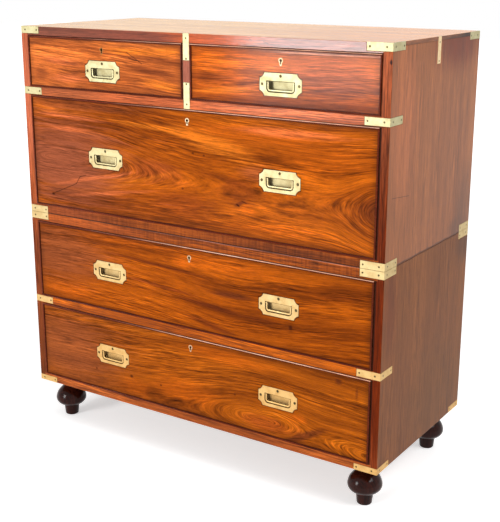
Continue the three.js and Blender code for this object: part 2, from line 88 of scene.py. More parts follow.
def calc(tree, operation, first, second=0.0, third=0.0, clamp=False):
    feeds = {0: first, 1: second, 2: third}
    return put(tree, "ShaderNodeMath", feeds, operation=operation, use_clamp=clamp).outputs[0]


def spread(tree, value, low, high, to_low=0.0, to_high=1.0):
    feeds = {"Value": value, "From Min": low, "From Max": high, "To Min": to_low, "To Max": to_high}
    return put(tree, "ShaderNodeMapRange", feeds, interpolation_type="SMOOTHSTEP").outputs["Result"]


def seen_directly(tree):
    """1 where the camera looks straight at a thing, or sees it in brass, lacquer or glass."""
    path = put(tree, "ShaderNodeLightPath").outputs
    mirrored = calc(tree, "MAXIMUM", path["Is Glossy Ray"], path["Is Transmission Ray"])
    return calc(tree, "MAXIMUM", path["Is Camera Ray"], mirrored)


room_glow = 0.42
world = bpy.data.worlds.new("studio")
world.use_nodes = True
bpy.context.scene.world = world
sky = world.node_tree
sky.nodes.clear()
dim_light = put(sky, "ShaderNodeBackground", {"Color": (1, 1, 1, 1), "Strength": room_glow}).outputs[0]
white_light = put(sky, "ShaderNodeBackground", {"Color": (1, 1, 1, 1), "Strength": 1.0}).outputs[0]
either_light = put(sky, "ShaderNodeMixShader", {0: seen_directly(sky), 1: dim_light, 2: white_light})
put(sky, "ShaderNodeOutputWorld", {"Surface": either_light.outputs[0]})

floor_half = 14.0
floor_white = (0.9, 0.9, 0.9, 1)
lift_near = 0.5
lift_far = 1.0
lift_reach = (1.0, 5.0)
corners = [(x * floor_half, y * floor_half, 0) for x, y in ((-1, -1), (1, -1), (1, 1), (-1, 1))]
floor_mesh = bpy.data.meshes.new("floor")
floor_mesh.from_pydata(corners, [], [(0, 1, 2, 3)])
floor = placed("floor", floor_mesh)
floor_paint = bpy.data.materials.new("pale_floor")
floor_paint.use_nodes = True
paint = floor_paint.node_tree
paint.nodes.clear()
floor_spot = put(paint, "ShaderNodeTexCoord").outputs["Object"]
floor_distance = put(paint, "ShaderNodeVectorMath", {0: floor_spot}, operation="LENGTH").outputs["Value"]
floor_lift = spread(paint, floor_distance, *lift_reach, lift_near, lift_far)
matt = put(paint, "ShaderNodeBsdfDiffuse", {"Color": floor_white})
lift_strength = calc(paint, "MULTIPLY", seen_directly(paint), floor_lift)
lift = put(paint, "ShaderNodeEmission", {"Strength": lift_strength})
lifted = put(paint, "ShaderNodeAddShader", {0: matt.outputs[0], 1: lift.outputs[0]})
put(paint, "ShaderNodeOutputMaterial", {"Surface": lifted.outputs[0]})
floor_mesh.materials.append(floor_paint)


def soft_lamp(name, place, target, width, height, watts):
    lamp = bpy.data.lights.new(name, "AREA")
    lamp.shape = "RECTANGLE"
    lamp.size = width
    lamp.size_y = height
    lamp.energy = watts
    stand = placed(name, lamp)
    stand.location = place
    stand.rotation_mode = "QUATERNION"
    stand.rotation_quaternion = (Vector(target) - Vector(place)).to_track_quat("-Z", "Y")


# Each lamp: where it stands, where it looks, how wide and how high it is, and its power
lamps = (
    ("front_left_lamp", (-1.2, -2.95, 1.1), (0.0, -0.2, 0.75), 0.82, 1.25, 59),
    ("overhead_lamp", (0.0, 0.2, 3.1), (0.0, 0.0, 1.0), 2.4, 2.0, 24),
    ("right_lamp", (2.2, -0.4, 2.2), (0.5, 0.0, 0.75), 1.3, 1.0, 34),
)
for lamp in lamps:
    soft_lamp(*lamp)

# Lower and upper case: boards of solid mahogany, about 20 mm thick, housed and glued. The outside
# is French polished; the inside was never polished. The boards take their shape from the model,
# with their long edges eased by sandpaper.
board_ease = 0.0007
ease_steps = 2
shortest_eased_edge = 0.012
square_corner = math.radians(60)
weld = 0.000005
flat_angle = math.radians(0.6)
sharp_angle = math.radians(32)
least_turn = math.radians(1)
# How nearly a face looks along an axis to count as square to it, or as looking that way
squarely = 0.9999
mostly = 0.7


def new_piece(name, bm, materials, body, node=None, smooth_to=sharp_angle):
    """Turns a finished bmesh into a piece that rides on a body and may stand for one of its nodes.
    Its curves are smooth and its flat faces stay flat."""
    for edge in bm.edges:
        if edge.is_manifold:
            flat = any(max(map(abs, face.normal)) > squarely for face in edge.link_faces)
            edge.smooth = edge.calc_face_angle(0) < (least_turn if flat else smooth_to)
    for face in bm.faces:
        face.smooth = True
    mesh = bpy.data.meshes.new(name)
    bm.to_mesh(mesh)
    bm.free()
    for material in materials:
        mesh.materials.append(material)
    piece = placed(name, mesh)
    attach(piece, body)
    if node:
        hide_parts(node)


def node_copy(node):
    """A welded copy of a node's mesh with its flat faces whole again."""
    bm = bmesh.new()
    bm.from_mesh(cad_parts[node].data)
    bmesh.ops.remove_doubles(bm, verts=bm.verts, dist=weld)
    bmesh.ops.dissolve_limit(bm, angle_limit=flat_angle, verts=bm.verts, edges=bm.edges)
    return bm


def ease_edges(bm, width, shortest=shortest_eased_edge):
    """Rounds the long outer edges of a board."""
    long_edges = [
        edge for edge in bm.edges
        if edge.is_manifold and edge.is_convex and edge.calc_length() > shortest
        and edge.calc_face_angle(0) > square_corner
    ]
    bmesh.ops.bevel(
        bm, geom=long_edges, offset=width, segments=ease_steps, profile=0.5, affect="EDGES",
        clamp_overlap=True,
    )
    bm.normal_update()


def shader_group(name, inputs, draw):
    """A node group with named inputs, each with its usual value. It puts out what draw returns."""
    tree = bpy.data.node_groups.new(name, "ShaderNodeTree")
    for label, value in inputs.items():
        kind = "NodeSocketVector" if isinstance(value, tuple) else "NodeSocketFloat"
        tree.interface.new_socket(label, in_out="INPUT", socket_type=kind).default_value = value
    drawn = draw(tree, tree.nodes.new("NodeGroupInput").outputs)
    for label in drawn:
        tree.interface.new_socket(label, in_out="OUTPUT", socket_type="NodeSocketFloat")
    put(tree, "NodeGroupOutput", drawn)
    return tree


def vector(tree, operation, *feeds, output=0):
    return put(tree, "ShaderNodeVectorMath", dict(enumerate(feeds)), operation=operation).outputs[output]


def dot(tree, first, second):
    return vector(tree, "DOT_PRODUCT", first, second, output="Value")


def how_long(tree, arrow):
    return vector(tree, "LENGTH", arrow, output="Value")


def scaled(tree, arrow, factor):
    return put(tree, "ShaderNodeVectorMath", {0: arrow, "Scale": factor}, operation="SCALE").outputs[0]


def split(tree, place):
    return put(tree, "ShaderNodeSeparateXYZ", {0: place}).outputs


def joined(tree, *parts):
    return put(tree, "ShaderNodeCombineXYZ", dict(enumerate(parts))).outputs[0]


def noise(tree, place, stretch, detail=2.0, rough=0.5):
    stretched = vector(tree, "MULTIPLY", place, stretch)
    feeds = {"Vector": stretched, "Scale": 1.0, "Detail": detail, "Roughness": rough}
    return put(tree, "ShaderNodeTexNoise", feeds).outputs["Fac"]


def bell(tree, squared):
    return calc(tree, "EXPONENT", calc(tree, "MULTIPLY", squared, -1.0))


def swing(tree, pattern):
    """A pattern from 0 to 1, moved to lie evenly about 0."""
    return calc(tree, "SUBTRACT", pattern, 0.5)


origin = (0.0, 0.0, 0.0)
face_only = (1.0, 1.0, 0.0)
slow_waves = (1.6, 4.2, 1.0)
quick_waves = (8.0, 24.0, 1.7)
quick_share = 0.45
side_sharpness = 25.0


def draw_rings(tree, given):
    """Which growth ring lies at a place on a board. The lines wander, and where the saw ran close
    to the heart of the tree they are nested ovals round each dip on the axis. A dip near the end
    of a board leaves arches there, which open towards it."""
    part = split(tree, given["Place"])
    seeded = joined(tree, part[0], part[1], given["Seed"])
    slow = swing(tree, noise(tree, seeded, slow_waves))
    quick = swing(tree, noise(tree, seeded, quick_waves, 1.0))
    waves = calc(tree, "MULTIPLY_ADD", quick, quick_share, slow)
    level = calc(tree, "MULTIPLY_ADD", part[0], given["Lean"], part[1])
    level = calc(tree, "MULTIPLY_ADD", waves, given["Wander"], level)
    off = calc(tree, "SUBTRACT", calc(tree, "ADD", level, given["Bend"]), given["Axis"])
    arch = given["Rise"]
    for label in ("First", "Second"):
        away = calc(tree, "SUBTRACT", part[0], given[f"{label} Dip"])
        share = calc(tree, "DIVIDE", away, given[f"{label} Reach"])
        dip = calc(tree, "SUBTRACT", 1.0, bell(tree, calc(tree, "MULTIPLY", share, share)))
        arch = calc(tree, "MULTIPLY", arch, dip)
    ring = calc(tree, "MULTIPLY_ADD", off, off, calc(tree, "MULTIPLY", arch, arch))
    side = calc(tree, "TANH", calc(tree, "MULTIPLY", off, side_sharpness))
    return {"Level": calc(tree, "SQRT", ring), "Side": side}


rings_at = shader_group("rings", {
    "Place": origin, "Lean": 0.0, "Wander": 0.01, "Bend": 0.0, "Seed": 0.0, "Axis": -1.0, "Rise": 0.0,
    "First Dip": 0.0, "First Reach": 0.1, "Second Dip": 0.0, "Second Reach": 0.1,
}, draw_rings)

# Each kind of line: how fine it is along, across and into the board, its detail and its roughness
grain_lines = {
    "Broad": ((1.7, 24.0, 7.0), 3.0, 0.55),
    "Streak": ((5.5, 150.0, 34.0), 3.0, 0.6),
    "Fleck": ((19.0, 430.0, 110.0), 2.0, 0.6),
    "Fibre": ((60.0, 1500.0, 300.0), 2.0, 0.6),
    "Ripple": ((170.0, 18.0, 6.0), 1.0, 0.5),
}
pore_fineness = (150.0, 2100.0, 600.0)
pore_edge = (0.6, 0.74)
patch_fineness = (3.0, 30.0, 5.0)
patch_edge = (0.35, 0.65)
weakest_lines = 0.5
strongest_lines = 1.2
seed_depth = 0.37
side_depth = 0.015


def draw_grain(tree, given):
    """Lines and flecks that run along the growth rings, stronger in some places than in others,
    and open pores. The two sides of an arch differ a little. Ripple is the play of light across
    the grain of a figured board."""
    part = split(tree, given["Place"])
    depth = calc(tree, "MULTIPLY_ADD", given["Seed"], seed_depth, part[2])
    depth = calc(tree, "MULTIPLY_ADD", given["Side"], side_depth, depth)
    spot = joined(tree, part[0], given["Level"], depth)
    lines = {label: noise(tree, spot, *fineness) for label, fineness in grain_lines.items()}
    patches = noise(tree, spot, patch_fineness, 1.0)
    strength = spread(tree, patches, *patch_edge, weakest_lines, strongest_lines)
    for label in ("Streak", "Fleck"):
        lines[label] = calc(tree, "MULTIPLY_ADD", swing(tree, lines[label]), strength, 0.5)
    pore = noise(tree, spot, pore_fineness, 1.0)
    return {**lines, "Pore": spread(tree, pore, *pore_edge)}


grain = shader_group("grain", {"Place": origin, "Level": 0.0, "Side": 0.0, "Seed": 0.0}, draw_grain)


def draw_hump(tree, given):
    """A soft round or oval hill: 1 in its middle and 0 well outside its reach."""
    part = split(tree, vector(tree, "SUBTRACT", given["Place"], given["Middle"]))
    flat = joined(tree, part[0], calc(tree, "MULTIPLY_ADD", part[0], given["Tilt"], part[1]))
    away = vector(tree, "DIVIDE", flat, given["Reach"])
    return {"Height": bell(tree, dot(tree, away, away))}


hump = shader_group("hump", {
    "Place": origin, "Middle": origin, "Reach": (0.1, 0.05, 1.0), "Tilt": 0.0,
}, draw_hump)


def draw_rim(tree, given):
    """1 along the edge of a board, falling to 0 at the reach inside it."""
    size = vector(tree, "ABSOLUTE", given["Place"])
    part = split(tree, vector(tree, "SUBTRACT", given["Half"], size))
    share = calc(tree, "DIVIDE", calc(tree, "MINIMUM", part[0], part[1]), given["Reach"])
    return {"Edge": spread(tree, share, 0.0, 1.0, 1.0, 0.0)}


rim = shader_group("rim", {"Place": origin, "Half": (1.0, 1.0, 1.0), "Reach": 0.01}, draw_rim)
waver_fineness = 28.0
scratch_edge = 0.3


def draw_scratch(tree, given):
    """A thin, slightly wavering line between two places."""
    feeds = {"Vector": given["Place"], "Scale": waver_fineness, "Detail": 3.0}
    waver = put(tree, "ShaderNodeTexNoise", feeds).outputs["Color"]
    shift = scaled(tree, vector(tree, "SUBTRACT", waver, (0.5, 0.5, 0.5)), given["Waver"])
    here = vector(tree, "SUBTRACT", vector(tree, "ADD", given["Place"], shift), given["From"])
    whole = vector(tree, "SUBTRACT", given["To"], given["From"])
    share = calc(tree, "DIVIDE", dot(tree, here, whole), dot(tree, whole, whole), clamp=True)
    off = vector(tree, "SUBTRACT", here, scaled(tree, whole, share))
    relative = calc(tree, "DIVIDE", how_long(tree, vector(tree, "MULTIPLY", off, face_only)), given["Width"])
    return {"Mark": spread(tree, relative, scratch_edge, 1.0, 1.0, 0.0)}


scratch = shader_group("scratch", {
    "Place": origin, "From": origin, "To": (0.1, 0.0, 0.0), "Width": 0.001, "Waver": 0.004,
}, draw_scratch)


def draw_surround(tree, given):
    """1 round a let-in plate whose corners are scooped out, falling to 0 at the reach outside it."""
    away = vector(tree, "ABSOLUTE", vector(tree, "SUBTRACT", given["Place"], given["Middle"]))
    beyond = vector(tree, "MULTIPLY", vector(tree, "SUBTRACT", away, given["Half"]), face_only)
    outside = how_long(tree, vector(tree, "MAXIMUM", beyond, origin))
    notch = calc(tree, "SUBTRACT", given["Scoop"], how_long(tree, beyond))
    share = calc(tree, "DIVIDE", calc(tree, "MAXIMUM", outside, notch), given["Reach"])
    return {"Edge": spread(tree, share, 0.0, 1.0, 1.0, 0.0)}


surround = shader_group("surround", {
    "Place": origin, "Middle": origin, "Half": (0.05, 0.02, 1.0), "Scoop": 0.01, "Reach": 0.002,
}, draw_surround)


def use(tree, group, **feeds):
    """Places a node group with its own values and gives its outputs."""
    named = {label.replace("_", " "): value for label, value in feeds.items()}
    return put(tree, "ShaderNodeGroup", named, node_tree=group).outputs


def colour(red, green, blue):
    """A colour written as it looks, on the usual 0 to 255 scale, taken off the sRGB curve."""
    linear = []
    for value in (red, green, blue):
        share = min(value / 255, 1.0)
        linear.append(share / 12.92 if share <= 0.04045 else ((share + 0.055) / 1.055) ** 2.4)
    return (*linear, 1.0)


# Each shade of a wood: its place on the scale, and how bright it is beside the middle one
shade_stops = ((0.0, 0.55), (0.28, 0.78), (0.5, 1.0), (0.72, 1.18), (1.0, 1.36))
green_power = 1.25
blue_power = 1.6


def streaks(red, green, blue, spread_by=1.0):
    """Five shades of one wood about its middle colour, from the darkest streak to the palest. The
    dark ones are redder, because green and blue fall away faster than red."""
    stops = []
    for place, factor in shade_stops:
        share = 1 + (factor - 1) * spread_by
        shade = colour(red * share, green * share ** green_power, blue * share ** blue_power)
        stops.append((place, shade))
    return stops


def mix(tree, share, first, second, way="MIX"):
    feeds = {0: share, 6: first, 7: second}
    return put(tree, "ShaderNodeMix", feeds, data_type="RGBA", blend_type=way).outputs[2]


def ramp(tree, value, stops):
    made = put(tree, "ShaderNodeValToRGB", {0: value})
    band = made.color_ramp
    while len(band.elements) < len(stops):
        band.elements.new(1.0)
    for element, (place, shade) in zip(band.elements, stops):
        element.position = place
        element.color = shade
    return made.outputs[0]


def stain(tree, skin, mask, strength, shade, way="MIX"):
    """The skin with another shade laid over it where the mask is."""
    return mix(tree, calc(tree, "MULTIPLY", mask, strength), skin, shade, way)


def grey(tree, value):
    return joined(tree, value, value, value)


def new_material(name):
    material = bpy.data.materials.new(name)
    material.use_nodes = True
    material.node_tree.nodes.clear()
    return material, material.node_tree


relief_strength = 0.1


def finish(tree, looks, relief, relief_depth):
    """Joins the looks of a surface and its fine relief to the material's output."""
    feeds = {"Strength": relief_strength, "Distance": relief_depth, "Height": relief}
    bump = put(tree, "ShaderNodeBump", feeds).outputs[0]
    surface = put(tree, "ShaderNodeBsdfPrincipled", {**looks, "Normal": bump}).outputs[0]
    put(tree, "ShaderNodeOutputMaterial", {"Surface": surface})


# Which way the grain runs: which of X, Y and Z lies along it, which across it and which into it
runs = {
    "sideways": (0, 2, 1), "upright": (2, 1, 0), "upright_front": (2, 0, 1), "lying": (0, 1, 2),
    "inward": (1, 0, 2),
}
# How much each kind of line moves the tone of the wood, and how much it darkens it finely
line_shares = (("Broad", 1.25, 0.0), ("Streak", 0.8, 0.3), ("Fleck", 0.4, 2.2), ("Fibre", 0.0, 1.2))
tint_streaks = 0.85
tint_raggedness = 1.3
tint_edge = (0.2, 0.95)
# The colour of dirt in cracks and joints, and of the painted shade and painted shadows laid on the wood
dirt_and_shadow_colour = colour(44, 16, 9)
pore_dark = 0.35
mark_dark = 0.65
# Dirt and painted shade round a let-in plate and in its scoops: how far it reaches out, and how dark it is
plate_dirt_and_shade_reach = 0.0026
plate_dirt_and_shade_dark = 0.8
# Dirt and painted shade along the edge of a board, by the bead of a front: how far they reach in, and how
# dark they are
edge_dirt_and_shade = ((0.003, 0.75), (0.018, 0.3))
fibre_roughness = 0.08
pore_relief = -0.6
wood_relief_depth = 0.0002


def wood(name, run, shades, middle=origin, half=None, rings=None, bends=(), tints=(), marks=(), plates=(),
         seed=0.0, rough=0.3, contrast=1.0, gloss=0.3, ripple=0.0, turn=0.0):
    """A polished or raw board. What it shows is given along and across from its middle. A bend is
    a place, its reach, its fall and its rise; a tint is a place, its reach, its fall, its strength
    and its shade; a mark is its two ends, its width and its waver; a plate is its place, half its
    size and its scoop. A turn leans the growth rings, so that they show on all four long faces."""
    material, tree = new_material(name)
    spot = put(tree, "ShaderNodeTexCoord").outputs["Object"]
    shift = tuple(-value for value in middle)
    local = put(tree, "ShaderNodeMapping", {0: spot, 1: shift, 2: (0.0, turn, 0.0)}).outputs[0]
    part = split(tree, local)
    place = joined(tree, *(part[index] for index in runs[run]))

    def hill(at, reach, tilt):
        return use(tree, hump, Place=place, Middle=(*at, 0), Reach=(*reach, 1), Tilt=tilt)["Height"]

    bend = 0.0
    for at, reach, tilt, rise in bends:
        bend = calc(tree, "MULTIPLY_ADD", hill(at, reach, tilt), rise, bend)
    level = use(tree, rings_at, Place=place, Bend=bend, Seed=seed, **(rings or {}))
    figure = use(tree, grain, Place=place, Level=level["Level"], Side=level["Side"], Seed=seed)
    tone = 0.5
    fine = 1.0
    for label, in_tone, in_fine in (*line_shares, ("Ripple", ripple, 0.0)):
        swung = swing(tree, figure[label])
        if in_tone:
            tone = calc(tree, "MULTIPLY_ADD", swung, in_tone * contrast, tone)
        if in_fine:
            fine = calc(tree, "MULTIPLY_ADD", swung, in_fine * contrast, fine)
    skin = ramp(tree, tone, shades)
    along_streaks = swing(tree, figure["Streak"])
    depth = calc(tree, "MULTIPLY_ADD", tone, tint_streaks, 1 - tint_streaks / 2)
    for at, reach, tilt, strength, shade in tints:
        ragged = calc(tree, "MULTIPLY_ADD", along_streaks, tint_raggedness, hill(at, reach, tilt))
        streaked = mix(tree, 1.0, grey(tree, depth), shade, "MULTIPLY")
        skin = stain(tree, skin, spread(tree, ragged, *tint_edge), strength, streaked)
    skin = mix(tree, 1.0, skin, grey(tree, fine), "MULTIPLY")
    skin = stain(tree, skin, figure["Pore"], pore_dark, shades[0][1])
    for start, end, width, waver in marks:
        feeds = {"From": (*start, 0), "To": (*end, 0), "Width": width, "Waver": waver}
        mark = use(tree, scratch, Place=place, **feeds)["Mark"]
        skin = stain(tree, skin, mark, mark_dark, dirt_and_shadow_colour)
    for at, size, scoop in plates:
        feeds = {"Middle": (*at, 0), "Half": (*size, 1), "Scoop": scoop, "Reach": plate_dirt_and_shade_reach}
        edge = use(tree, surround, Place=place, **feeds)["Edge"]
        skin = stain(tree, skin, edge, plate_dirt_and_shade_dark, dirt_and_shadow_colour)
    for reach, dark_share in edge_dirt_and_shade if half else ():
        edge = use(tree, rim, Place=place, Half=half, Reach=reach)["Edge"]
        skin = stain(tree, skin, edge, dark_share, dirt_and_shadow_colour)
    roughness = calc(tree, "MULTIPLY_ADD", figure["Fibre"], fibre_roughness, rough - fibre_roughness / 2)
    relief = calc(tree, "MULTIPLY_ADD", figure["Pore"], pore_relief, figure["Fibre"])
    looks = {"Base Color": skin, "Roughness": roughness, "Specular IOR Level": gloss}
    finish(tree, looks, relief, wood_relief_depth)
    return material


seam_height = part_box("upper_bottom")[0].z
seam_grime = ((seam_height, -0.23), (seam_height, 0.23), 0.0045, 0.006)
side_scratch = ((0.712, -0.2), (0.704, -0.12), 0.001, 0.003)
calm = {"Wander": 0.012}
upper_tints = [
    ((1.01, 0.11), (0.075, 0.15), 0.06, 1, colour(106, 40, 0)),
    ((0.86, -0.16), (0.2, 0.08), 0, 0.7, colour(166, 94, 52)),
    ((0.62, 0.19), (0.1, 0.06), 0, 0.5, colour(92, 58, 40)),
    ((0.58, 0.14), (0.03, 0.05), 0, 0.45, colour(84, 54, 40)),
]
lower_tints = [
    ((0.53, 0.2), (0.05, 0.05), 0, 0.6, colour(72, 46, 34)),
    ((0.47, -0.19), (0.12, 0.04), 0, 0.5, colour(104, 44, 18)),
    ((0.2, 0.08), (0.15, 0.2), 0, 0.5, colour(108, 64, 22)),
]
side_woods = {
    "upper": wood(
        "upper_side_wood", "upright", streaks(141, 81, 40, 0.5), tints=upper_tints, rings=calm, seed=2.3,
        marks=[seam_grime, side_scratch], rough=0.3, contrast=0.75, gloss=0.12,
    ),
    "lower": wood(
        "lower_side_wood", "upright", streaks(124, 72, 34, 0.5), tints=lower_tints, rings=calm, seed=12.3,
        marks=[seam_grime], rough=0.34, contrast=0.7, gloss=0.06,
    ),
}

# The stiles are the front edges of the sides. The right one is darker, and a painted shadow runs down it
# beside the drawers.
stile = 0.485
stile_tints = [
    ((0.4, stile), (0.5, 0.06), 0, 0.95, colour(98, 30, 0)),
    # A painted shadow: a thin dark line beside the right edges of the drawers.
    ((0.5, 0.4735), (0.8, 0.004), 0, 0.8, colour(44, 14, 8)),
    ((0.42, -stile), (0.13, 0.06), 0, 0.8, colour(108, 48, 22)),
    ((0.98, stile), (0.1, 0.06), 0, 0.8, colour(172, 82, 38)),
    ((0.9, -stile), (0.25, 0.06), 0, 0.9, colour(206, 110, 76)),
    ((0.15, -stile), (0.25, 0.06), 0, 0.9, colour(112, 52, 20)),
    ((0.984, 0.491), (0.006, 0.004), 0, 1, colour(44, 14, 8)),
]
stile_gap_shadow = ((0.13, 0.4745), (0.86, 0.4745), 0.0045, 0.003)
stile_wood = wood(
    "stile_wood", "upright_front", streaks(150, 72, 36, 0.8), tints=stile_tints, rings={"Wander": 0.006},
    marks=[stile_gap_shadow], seed=5.1, rough=0.25, gloss=0.05,
)
top_tints = [
    ((0.5, 0), (0.5, 0.5), 0, 0.9, colour(210, 134, 66)),
    ((0.1, -0.21), (0.6, 0.02), 0, 0.4, colour(200, 128, 76)),
]
top_wood = wood(
    "top_wood", "lying", streaks(228, 170, 96, 0.4), tints=top_tints, rings={"Wander": 0.02}, seed=4.4,
    rough=0.25, contrast=0.8, gloss=0.5,
)
lap_tints = [((0.2, 0.49), (0.17, 0.2), 0, 0.95, colour(38, 19, 10))]
lap_wood = wood(
    "lap_wood", "inward", streaks(120, 72, 44, 0.8), tints=lap_tints, seed=1.9, rough=0.35, contrast=0.8,
    gloss=0.12,
)
raw_wood = wood("raw_wood", "lying", streaks(130, 82, 52, 0.6), seed=8.2, rough=0.7, contrast=0.8, gloss=0.2)

faces_by_way = {
    "front": Vector((0, -1, 0)), "back": Vector((0, 1, 0)), "left": Vector((-1, 0, 0)),
    "right": Vector((1, 0, 0)), "up": Vector((0, 0, 1)),
}


def case_board(node, body, ways):
    """ways: a material for each way that a face may look, and under None the one for the rest."""
    bm = node_copy(node)
    ease_edges(bm, board_ease)
    for face in bm.faces:
        for index, way in enumerate(ways):
            if way and faces_by_way[way].dot(face.normal) > mostly:
                face.material_index = index
    new_piece(f"{node}_board", bm, list(ways.values()), body, node)


def edge_wood(name, shade, seed, rough=0.22, gloss=0.1, **more):
    """The front edge of a board that lies level in a case. Each was cut from another plank."""
    return wood(name, "sideways", streaks(*shade), seed=seed, rough=rough, gloss=gloss, **more)


seam_glint = ((0.15, seam_height - 0.0006), (0.4, 0.0012), 0, 0.8, colour(236, 160, 136))
seam_shadow = ((0, seam_height + 0.0012), (2, 0.0016), 0, 0.8, dirt_and_shadow_colour)
lower_seam_tints = [((-0.4, 0.57), (0.3, 0.5), 0, 0.8, colour(170, 80, 30)), seam_glint]
upper_seam_tints = [((-0.45, 0.59), (0.25, 0.5), 0, 0.8, colour(134, 62, 28)), seam_shadow]
upper_rail_tints = [((-0.42, 0.86), (0.2, 0.5), 0, 0.9, colour(154, 78, 40))]
top_edge_tints = [
    ((-0.45, 1.01), (0.25, 0.5), 0, 0.9, colour(110, 54, 34)),
    # A painted highlight: the middle of the top's front edge is brightened.
    ((0.08, 1.01), (0.15, 0.5), 0, 0.7, colour(214, 92, 30)),
]
top_edge_dents = [
    ((0.2, 1.012), (0.212, 1.008), 0.0014, 0.002),
    ((0.165, 1.016), (0.17, 1.013), 0.0012, 0.002),
]
edge_woods = {
    "lower_bottom": edge_wood("base_edge_wood", (170, 84, 30), 7.7),
    "lower_rail": edge_wood("lower_rail_wood", (172, 80, 8), 8.7),
    "lower_top": edge_wood("lower_seam_wood", (152, 70, 12), 9.7, ripple=0.45, tints=lower_seam_tints),
    "upper_bottom": edge_wood("upper_seam_wood", (146, 67, 12), 6.7, ripple=0.45, tints=upper_seam_tints),
    "upper_rail": edge_wood(
        "upper_rail_wood", (190, 92, 46), 5.7, rough=0.2, gloss=0.15, tints=upper_rail_tints,
    ),
    "upper_top": edge_wood(
        "top_edge_wood", (136, 64, 42), 4.7, rough=0.1, gloss=0.32, tints=top_edge_tints,
        marks=top_edge_dents,
    ),
}
for node, front in edge_woods.items():
    others = {"up": top_wood, "left": lap_wood, "right": lap_wood} if node == "upper_top" else {}
    case_board(node, f"{node.split('_')[0]}_case", {None: raw_wood, "front": front, **others})
for case in ("lower", "upper"):
    for word in ("left", "right"):
        ways = {None: raw_wood, "front": stile_wood, word: side_woods[case]}
        case_board(f"{case}_side_{word}", f"{case}_case", ways)
partition_shades = streaks(150, 82, 60, 0.8)
partition_wood = wood("partition_wood", "upright_front", partition_shades, seed=5.5, rough=0.2, gloss=0.1)
case_board("upper_partition", "upper_case", {None: raw_wood, "front": partition_wood})

# Backs: wide pine boards, one for each case, stained brown and nailed into the rabbets of the
# sides. They were planed but never polished, because they stand against a wall.
back_wood = wood(
    "back_wood", "sideways", streaks(110, 74, 44, 0.8), rings={"Wander": 0.03}, seed=11.0, rough=0.6,
    gloss=0.2,
)
for case in ("lower", "upper"):
    case_board(f"{case}_back", f"{case}_case", {None: back_wood})

# Feet: turned in a dark hardwood, stained nearly black and polished. A spigot on each goes up
# into the underside of the chest. The bun's shares are of its radius and of its height, downwards.
foot_steps = 72
bun_shares = [
    (0.43, 0), (0.5, 0.04), (0.68, 0.16), (0.88, 0.34), (0.98, 0.53), (1, 0.66), (0.95, 0.79), (0.81, 0.91),
    (0.6, 1),
]
bun_points = 40
neck_height = 0.022
neck_radius = 0.017
bun_height = 0.054
stem_top_radius = 0.020
stem_foot_radius = 0.0175
foot_rounding = 0.004
rounding_steps = 6
spigot_radius = 0.014
turning_line = 0.0006


def curve_through(points, share):
    """The place at a share of the way along a smooth curve through all the points."""
    span = len(points) - 1
    index = min(int(share * span), span - 1)
    t = share * span - index
    before, here, there, after = (points[min(max(index + step, 0), span)] for step in (-1, 0, 1, 2))
    return tuple(
        0.5 * (2 * b + (c - a) * t + (2 * a - 5 * b + 4 * c - d) * t ** 2 + (3 * b - a - 3 * c + d) * t ** 3)
        for a, b, c, d in zip(before, here, there, after)
    )


def arc(u, v, radius, start, end, steps):
    """Points on a round, from one turn to another, both ends included."""
    made = []
    for step in range(steps + 1):
        turn = start + (end - start) * step / steps
        made.append((u + radius * math.cos(turn), v + radius * math.sin(turn)))
    return made


def circle(u, v, radius, steps):
    return arc(u, v, radius, 0, 2 * math.pi, steps)[:-1]


def wall(bm, first, second):
    """A band of faces between two closed rows, which have as many points each."""
    for index in range(len(first)):
        bm.faces.new((first[index - 1], first[index], second[index], second[index - 1]))


def walls(bm, rows):
    for first, second in zip(rows, rows[1:]):
        wall(bm, first, second)


def turned_foot(node):
    """A foot as it comes off the lathe, from the top of its spigot down."""
    low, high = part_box(node)
    centre = (low + high) / 2
    bun_radius = (high.x - low.x) / 2
    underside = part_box("lower_bottom")[0].z
    bun_top = underside - neck_height
    bun_foot = bun_top - bun_height
    profile = [(spigot_radius, high.z), (spigot_radius, underside - turning_line)]
    profile += [(neck_radius, underside - turning_line), (neck_radius, bun_top + turning_line)]
    profile.append((neck_radius - turning_line, bun_top))
    for step in range(1, bun_points + 1):
        out, down = curve_through(bun_shares, step / bun_points)
        profile.append((bun_radius * min(out, 1.0), bun_top - bun_height * down))
    profile += [(stem_top_radius - turning_line, bun_foot), (stem_top_radius, bun_foot - turning_line)]
    rounding_middle = (stem_foot_radius - foot_rounding, foot_rounding)
    profile += arc(*rounding_middle, foot_rounding, 0, -math.pi / 2, rounding_steps)
    bm = bmesh.new()
    rows = []
    for radius, height in profile:
        outline = circle(centre.x, centre.y, radius, foot_steps)
        rows.append([bm.verts.new((x, y, height)) for x, y in outline])
    walls(bm, rows)
    bm.faces.new(rows[0])
    bm.faces.new(rows[-1])
    bmesh.ops.recalc_face_normals(bm, faces=bm.faces)
    return bm


foot_wood = wood("foot_wood", "upright", streaks(44, 14, 7, 0.7), seed=3.0, rough=0.14, gloss=0.14)
for name in ("foot_front_left", "foot_front_right", "foot_back_left", "foot_back_right"):
    new_piece(f"{name}_turning", turned_foot(name), [foot_wood], "lower_case", name)

# Brass straps: 2 mm sheet let in flush at the corners of both cases, bent round the edge, and
# straight ones over the ends of the partition and the middle of the top joint. All are held by
# countersunk screws. The seam has one strap above it and one below it.
half_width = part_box("lower_side_right")[1].x
case_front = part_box("lower_side_left")[0].y
case_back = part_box("lower_side_left")[1].y
chest_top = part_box("upper_top")[1].z
strap_length = 0.0565
strap_thickness = 0.002
strap_ease = 0.0003
screw_near = 0.013
screw_far = 0.050
mouth_radius = 0.0023
throat_radius = 0.0012
hole_steps = 20
least_miter = 0.5
screw_spots = {}


